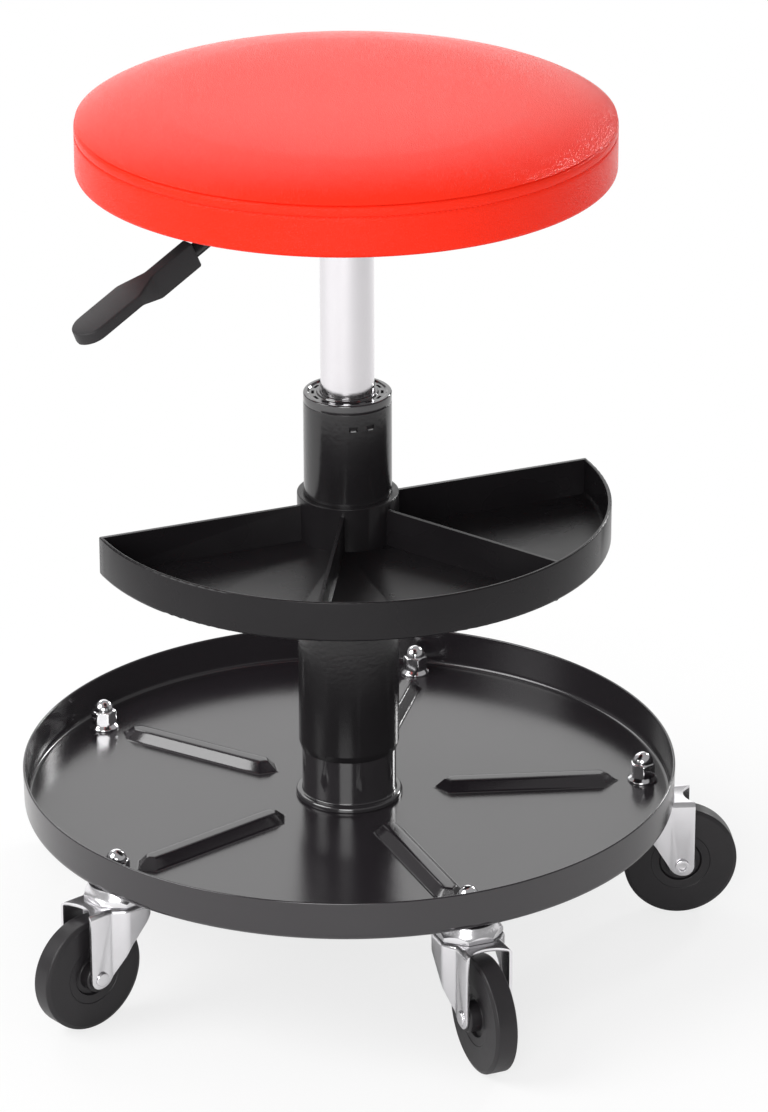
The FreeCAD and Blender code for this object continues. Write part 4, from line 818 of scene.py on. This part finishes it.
def wheel_mesh():
    """A wheel standing on the floor, turned about an axle along Y."""
    side = [(6.06, 11.3), (7.9, 11.6, 0.4), (8.6, 10.9, 0.4), (8.6, 4.4, 0.7), (12.0, 4.0, 0.7),
            (12.4, 6.1, 0.5), (17.2, 6.2, 0.3), (17.6, 6.6, 0.3), (31.0, 6.6, 1.0),
            (AXLE_HEIGHT, 5.4, 1.0)]
    other = [(radius, -beside, *rounding) for radius, beside, *rounding in side]
    mesh = turned(side + other[::-1], wheel_plastic, 144)
    mesh.transform(Matrix.Rotation(math.pi / 2, 4, "X"))
    mesh.transform(Matrix.Translation((0, 0, AXLE_HEIGHT * MM)))
    return mesh


wheel = wheel_mesh()
for number in CASTERS:
    copy = at_caster(wheel, number, STEM_CIRCLE + TRAIL)
    piece("wheel_%d_piece" % number, tidy(copy, wheel_plastic), "wheel_%d" % number,
          ["caster_wheel_%d" % number])

# %% Forks, rivets and stems
for number in CASTERS:
    own = "caster_%d" % number
    for part, body, edge in (("fork", own, 0.25), ("axle", own, 0.15), ("stem", "base", 0.25)):
        name = "caster_%s_%d" % (part, number)
        piece(name + "_piece", softened(name, zinc, edge), body, [name])

# %% [markdown]
# ## The lever
# A bent rod carries a moulded paddle. The rod's nose is dressed flat where it
# presses the button, so that a full pull doesn't sink it into the button.

# %% Rod
NOSE, PRESS_HEIGHT = 8.0, 450.36        # the nose's reach and its lowest height

rod = softened("lever_rod", gloss, 0.2)
for vertex in rod.vertices:
    if vertex.co.to_2d().length < NOSE * MM:
        vertex.co.z = max(vertex.co.z, PRESS_HEIGHT * MM)
piece("rod", rod, "lever", ["lever_rod"])


# %% Handle
def slope(value, low, high, soft=1.0):
    """0 below low, 1 above high and a straight slope with soft ends between."""
    shares = [(value + soft * (i - 2) / 2 - low) / (high - low) for i in range(5)]
    return sum(max(0.0, min(1.0, share)) for share in shares) / 5


HANDLE_HEADING, DROOP = math.radians(222.1), math.radians(22.9)
HANDLE_START, HANDLE_TOP, HANDLE_LENGTH = 115.1, 450.4, 86.0
# Along the handle the narrow deep neck becomes a wide flat blade.
NECK_END, BLADE_START, TIP = 30.5, 46.0, 11.0
NECK_HALF, BLADE_HALF, NECK_DEPTH, BLADE_DEPTH = 3.6, 9.9, 15.6, 7.2
FLARE, CORNER = 1.6, 1.1


def handle_section(reach, shrink):
    """The handle's cross-section as points beside and above its top face."""
    bent = slope(reach, NECK_END, BLADE_START)
    wide = NECK_HALF + (BLADE_HALF - NECK_HALF) * bent
    deep = NECK_DEPTH + (BLADE_DEPTH - NECK_DEPTH) * bent
    low_wide = wide + FLARE * (1 - bent)
    past = max(0.0, min(1.0, (reach - HANDLE_LENGTH + TIP) / TIP))
    narrowing = math.sqrt(max(0.004, 1 - past * past))
    wide, low_wide = wide * narrowing - shrink, low_wide * narrowing - shrink
    top, low = -shrink, -deep + shrink
    corner = min(CORNER, wide * 0.7)
    return rounded([(wide, top, corner), (low_wide, low, corner),
                    (-low_wide, low, corner), (-wide, top, corner)])


def handle_mesh():
    """Sections from the neck to the round tip. The first three and the last
    are smaller all round, which rounds the handle's ends."""
    steps = [(0.0, 1.1), (0.35, 0.35), (1.1, 0.0)] + [(2.0 + 1.5 * i, 0.0) for i in range(49)]
    start = HANDLE_LENGTH - TIP
    for degrees in (10, 20, 30, 40, 50, 60, 68, 75, 81):
        steps.append((start + TIP * math.sin(math.radians(degrees)), 0.0))
    steps += [(HANDLE_LENGTH - 0.05, 0.0), (HANDLE_LENGTH, 0.3)]
    steps = sorted(step for step in steps if step[0] < start or step[0] > start + 1.0)
    up = Vector((0, 0, 1))
    outward = Vector((math.cos(HANDLE_HEADING), math.sin(HANDLE_HEADING), 0))
    along = outward * math.cos(DROOP) - up * math.sin(DROOP)
    rise = outward * math.sin(DROOP) + up * math.cos(DROOP)
    beside = up.cross(outward)
    origin = outward * HANDLE_START + up * HANDLE_TOP
    rows = [[tuple(origin + along * reach + beside * y + rise * z)
             for y, z in handle_section(reach, shrink)] for reach, shrink in steps]
    return rows_mesh(rows, True, True)


piece("handle", tidy(handle_mesh(), handle_plastic, 50.0), "lever",
      ["lever_handle"])

# %% [markdown]
# ## The cushion
# A round foam pad under a stretched red cover. The foam presses outwards
# everywhere, and the seam and the turned-in edge hold the cover back. A cloth
# simulation shows what that does: a pad that starts too flat is blown up by a
# small pressure while its seam is pinned. Its mesh is coarse, so the swelling
# is scaled to the crown of the photograph and passed on to a fine mesh, which
# also has the seam and the stitch line.

# %% The pad's profile
PAD, SEAM, STITCH_LINE, BAND_LOW = 150.0, 494.9, 489.0, 466.1   # its radius, then heights
# The crown rises this far above the seam: a dome, and a roll at the pad's edge.
DOME, DOME_POWER, EDGE_ROLL, ROLL_POWER = 11.6, 5.5, 2.4, 18
HEM = 2.6                           # how round the lower edge of the band is
FLAT_REACH, SWELL_TOP = 105.0, 3.5  # the part that starts flatter, and by how much
SEAM_LIP = 0.9                      # the crown starts this far above the seam


def crown_height(radius, flatter):
    """The top of the pad: rolled at its edge, and flatter before it swells."""
    share = min(1.0, radius / (PAD - 0.5))
    hollow = max(0.0, 1 - (radius / FLAT_REACH) ** 2)
    rolled = EDGE_ROLL * (1 - share ** ROLL_POWER) ** 0.5
    return SEAM + DOME * (1 - share ** DOME_POWER) + rolled - flatter * hollow


def lower_edge(steps=8):
    """The turned-in cover and the rounded lower edge of the band."""
    points = [(136.0, BAND_LOW), (141.0, BAND_LOW), (145.0, BAND_LOW)]
    for step in range(1, steps + 1):
        angle = math.radians(90 * step / steps)
        points.append((PAD - HEM + HEM * math.sin(angle), BAND_LOW + HEM * (1 - math.cos(angle))))
    return points


def fine_profile(flatter):
    """The pad with its stitch line and its seam, from below to the middle."""
    side = [(0.0, 470.5), (0.0, 473.5), (0.0, 477.0), (0.0, 480.5), (0.0, 484.0), (0.0, 486.4),
            (0.05, 487.8), (0.25, 488.5), (0.6, STITCH_LINE), (0.25, 489.5), (0.02, 490.2),
            (0.0, 491.5), (0.05, 493.0), (0.35, 494.0), (1.0, 494.6), (1.7, SEAM),
            (1.05, 495.2), (0.7, 495.6)]
    points = lower_edge() + [(PAD - inward, height) for inward, height in side]
    radii = [149.35, 149.1, 148.7, 148.2, 147.5, 146.5, 145.0, 143.0, 140.5, 137.5, 134.0]
    radii += [130.0 - 5.0 * i for i in range(26)] + [0.0]
    top = [(radius, crown_height(radius, flatter)) for radius in radii]
    points += [point for point in top if point[1] > SEAM + SEAM_LIP]
    return [Vector(point) for point in points]


def coarse_profile(flatter):
    """The same pad for the simulation, without the fine lines."""
    points = [(radius, BAND_LOW) for radius in (0.0, 30.0, 60.0, 90.0, 115.0)]
    points += lower_edge()[::2] + [(PAD, 469.5 + 4.8 * i) for i in range(1, 5)]
    points.append((PAD - 0.6, SEAM))
    radii = [147.0, 143.0, 138.0, 132.0] + [126.0 - 6.0 * i for i in range(21)] + [0.0]
    points += [(radius, crown_height(radius, flatter)) for radius in radii]
    return [Vector(point) for point in points]


# %% Blow the pad up
FRAMES, LIMIT, WAVES = 20, 8.0, 3       # the limit is the furthest that a point moves, in mm


def swelling(profile):
    """Where each point of a coarse pad starts, and how far it swells."""
    mesh = swept(profile, red, 112)
    pad = holding(mesh)
    starts = [vertex.co.copy() for vertex in mesh.vertices]
    held = pad.vertex_groups.new(name="held")
    for index, spot in enumerate(starts):
        radius, height = math.hypot(spot.x, spot.y) / MM, spot.z / MM
        at_seam = abs(height - SEAM) < 2.0 and radius > 146.0
        if at_seam or height < BAND_LOW + 3.0:
            held.add([index], 1.0, "REPLACE")
    cloth = pad.modifiers.new("cloth", "CLOTH")
    settings = cloth.settings
    settings.quality, settings.mass, settings.air_damping = 8, 0.3, 2.0
    settings.tension_stiffness, settings.compression_stiffness = 60.0, 60.0
    settings.shear_stiffness, settings.bending_stiffness = 30.0, 2.0
    settings.use_pressure, settings.uniform_pressure_force = True, 4.0
    settings.effector_weights.gravity = 0.0
    settings.vertex_group_mass = "held"
    cloth.point_cache.frame_start, cloth.point_cache.frame_end = 1, FRAMES
    for number in range(1, FRAMES + 1):
        bpy.context.scene.frame_set(number)
    ready = pad.evaluated_get(bpy.context.evaluated_depsgraph_get()).data
    swells = [after.co - before for after, before in zip(ready.vertices, starts)]
    bpy.data.objects.remove(pad)
    bpy.context.scene.frame_set(1)
    return starts, swells


def capped(swells):
    """The same swelling with no point moved further than the limit."""
    return [swell * min(1.0, LIMIT * MM / max(swell.length, 1e-9)) for swell in swells]


def long_waves(values):
    """The same row of values round a circle, without its short waves."""
    if len(values) == 1:
        return values
    waves = np.fft.rfft(values)
    waves[WAVES + 1:] = 0
    return np.fft.irfft(waves, len(values))


def evened(starts, swells, profile):
    """Keep only the long waves round the pad, because a firm pad has no small
    folds, and only movement up and outwards, because the foam fills the cover."""
    circles = {}
    for index, spot in enumerate(starts):
        place = Vector((math.hypot(spot.x, spot.y), spot.z)) / MM
        key = min(range(len(profile)), key=lambda i: (profile[i] - place).length_squared)
        circles.setdefault(key, []).append(index)
    even = list(swells)
    for circle in circles.values():
        circle.sort(key=lambda i: math.atan2(starts[i].y, starts[i].x))
        ways = [starts[i].to_2d().normalized() for i in circle]
        outwards = long_waves([swells[i].to_2d().dot(way) for i, way in zip(circle, ways)])
        upwards = long_waves([swells[i].z for i in circle])
        for i, way, outward, upward in zip(circle, ways, outwards, upwards):
            even[i] = Vector((*(way * max(outward, 0.0)), max(upward, 0.0)))
    return even


def passed_on(mesh, starts, swells, gain, nearest=16, reach=7.0):
    """Move a fine mesh by the smoothed swelling of the nearest coarse points."""
    tree = KDTree(len(starts))
    for index, spot in enumerate(starts):
        tree.insert(spot, index)
    tree.balance()
    for vertex in mesh.vertices:
        near = tree.find_n(vertex.co, nearest)
        shares = [math.exp(-(distance / (reach * MM)) ** 2) + 1e-6 for _, _, distance in near]
        moved = sum((swells[index] * share for (_, index, _), share in zip(near, shares)),
                    Vector())
        vertex.co += moved * (gain / sum(shares))
    return mesh


# %% Cushion
PAD_STEPS = 256

profile = coarse_profile(SWELL_TOP)
starts, swells = swelling(profile)
swells = evened(starts, capped(swells), profile)
rise = max(swell.z for swell in swells) / MM
print("swelling at the top", round(rise, 2), "mm, passed on as", SWELL_TOP, "mm")
cushion = swept(fine_profile(SWELL_TOP), red, PAD_STEPS)
cushion = passed_on(cushion, starts, swells, SWELL_TOP / rise)
cushion_piece = piece("cushion", tidy(cushion, red, 50.0), "seat",
                      ["seat_top_panel", "seat_side_band", "seat_foam"])

# %% [markdown]
# ### Stitches, staples and the cover below
# A row of short stitches runs round the side band under the seam. From below,
# staples hold the turned-in edge of the cover, and a thin black cloth hides
# the board. Stitches and staples are copies on a circle. The cloth is a sheet
# that ripples a little near its fixings.

# %% Stitches
def thread(length, radius, sides=6, bend=0.0):
    """A short thread or wire along Y, pointed at both ends."""
    angles = [2 * math.pi * side / sides for side in range(sides)]
    rows = []
    for share, size in ((-0.5, 0.35), (-0.36, 0.9), (0.0, 1.0), (0.36, 0.9), (0.5, 0.35)):
        inward, across = -bend * (2 * share) ** 2, size * radius
        rows.append([(inward + across * math.cos(angle), share * length,
                      across * math.sin(angle)) for angle in angles])
    return rows_mesh(rows, True, True)


stitches = repeated(thread(2.3, 0.32, bend=0.3), red, 300, radius=149.78, height=STITCH_LINE,
                    jitter=0.03, seed=3)
piece("stitches", stitches, "seat")

# %% Staples
staples = repeated(thread(10.0, 0.34, 8), steel, 24, radius=143.0, height=465.45)
piece("staples", staples, "seat", ["cover_staples"])

# %% Dust cover
SHEET, SHEET_LOW, SHEET_THICK = 137.2, 465.32, 0.42
RIPPLE, RIPPLES, RIPPLE_START = 0.03, 24, 100.0


def dust_sheet():
    """A round sheet under the board, with ripples towards its edge."""
    radii = [0.0] + [4.0 + 6.0 * i for i in range(22)] + [133.0, 134.5, 136.0, SHEET]
    low = [Vector((radius, SHEET_LOW)) for radius in radii]
    high = [Vector((radius, SHEET_LOW + SHEET_THICK)) for radius in radii[::-1]]
    mesh = swept(low + high, cloth, 192)
    for vertex in mesh.vertices:
        radius = math.hypot(vertex.co.x, vertex.co.y) / MM
        angle = math.atan2(vertex.co.y, vertex.co.x)
        wave = RIPPLE * math.sin(RIPPLES * angle) * slope(radius, RIPPLE_START, 137.0)
        vertex.co.z += wave * MM
    return tidy(mesh, cloth, 60.0)


dust_piece = piece("dust_cover_piece", dust_sheet(), "seat", ["dust_cover"])

# %% [markdown]
# ## Pieces that stay as CAD has them
# Most hidden and underside parts keep their CAD mesh and get a real finish.

# %% Finishes for CAD nodes
kept = {
    "seat_board": board_wood, "rubber_bumper": rubber, "cylinder_guide": handle_plastic,
    "piston_rod": chrome, "hub_flange": coat}
kept.update(dict.fromkeys(("seat_plate", "cone_socket", "lever_bracket"), gloss))
kept.update(dict.fromkeys(("plate_bolts", "t_nuts"), zinc))
kept.update(dict.fromkeys((
    "lever_pivot", "release_button", "piston", "bearing_upper_race", "bearing_lower_race",
    "bearing_balls", "rod_clip", "column_foot", "swivel_balls"), steel))
kept.update(("wheel_bush_%d" % number, steel) for number in CASTERS)
for name, material in kept.items():
    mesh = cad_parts[name].data
    mesh.materials.clear()
    mesh.materials.append(material)

# %% [markdown]
# ## Floor and light
# A pale floor under plain soft light. To the camera the world is white and
# the floor glows, less so under the stool, where the shadow shows. What the
# surfaces get from the world, and reflect of it, is dimmer.

# %% Floor
FLOOR_REACH = 30                            # metres
SHADOW_SIZE, UNDER_STOOL = 1.6, 0.76        # metres, and the share of glow there


def floor_white():
    finish = Finish("floor_white", (0.82, 0.82, 0.82), 0.9)
    paths = finish.add("ShaderNodeLightPath")
    glow = finish.add("ShaderNodeEmission", None, {"Color": (1, 1, 1, 1), "Strength": 1.0})
    away = finish.add("ShaderNodeVectorMath", {"operation": "LENGTH"}, {0: finish.spot}, "Value")
    fade = finish.ramp(away / SHADOW_SIZE, 0.15, 0.30)
    share = paths.output("Is Camera Ray") * (UNDER_STOOL + fade * (1 - UNDER_STOOL))
    mixed = finish.add("ShaderNodeMixShader", None, {
        0: share, 1: Wire(finish, finish.shader.outputs[0]), 2: glow})
    finish.feed(finish.tree.nodes["Material Output"].inputs["Surface"], mixed)
    return finish.material


ground = bpy.data.meshes.new("floor")
ground.from_pydata([(x * FLOOR_REACH, y * FLOOR_REACH, 0)
                    for x, y in ((-1, -1), (1, -1), (1, 1), (-1, 1))], [], [(0, 1, 2, 3)])
ground.materials.append(floor_white())
floor = bpy.data.objects.new("floor", ground)
bpy.context.scene.collection.objects.link(floor)

# %% World
TO_CAMERA, TO_SURFACES, TO_REFLECTIONS = 1.0, 0.55, 0.35

world = bpy.data.worlds.new("studio")
bpy.context.scene.world = world
world.use_nodes = True
sky = Tree(world.node_tree)
paths = sky.add("ShaderNodeLightPath")
dimmer = paths.output("Is Glossy Ray") * (TO_SURFACES - TO_REFLECTIONS)
strength = TO_SURFACES + paths.output("Is Camera Ray") * (TO_CAMERA - TO_SURFACES) - dimmer
background = world.node_tree.nodes["Background"]
sky.feed(background.inputs["Color"], (1, 1, 1, 1))
sky.feed(background.inputs["Strength"], strength)

# %% Lamps
LAMPS = (       # name, place, height of the spot it points at, size in metres and power
    ("key", (-2.0, -0.7, 2.0), 0.3, 1.9, 52),
    ("fill", (-0.4, -2.9, 1.2), 0.3, 1.6, 46),
    ("back", (-0.45, 3.0, 1.2), 0.4, 2.9, 24),
    ("back left", (-1.5, 2.2, 2.3), 0.4, 1.1, 9),
    ("rim", (1.7, 2.2, 1.3), 0.5, 0.5, 22))

for name, place, aim, size, power in LAMPS:
    light = bpy.data.lights.new(name, "AREA")
    light.shape, light.size, light.energy = "DISK", size, power
    made = bpy.data.objects.new(name, light)
    made.location = place
    away = Vector(place) - Vector((0, 0, aim))
    made.rotation_euler = away.to_track_quat("Z", "Y").to_euler()
    bpy.context.scene.collection.objects.link(made)
bpy.context.scene.view_settings.view_transform = "Standard"
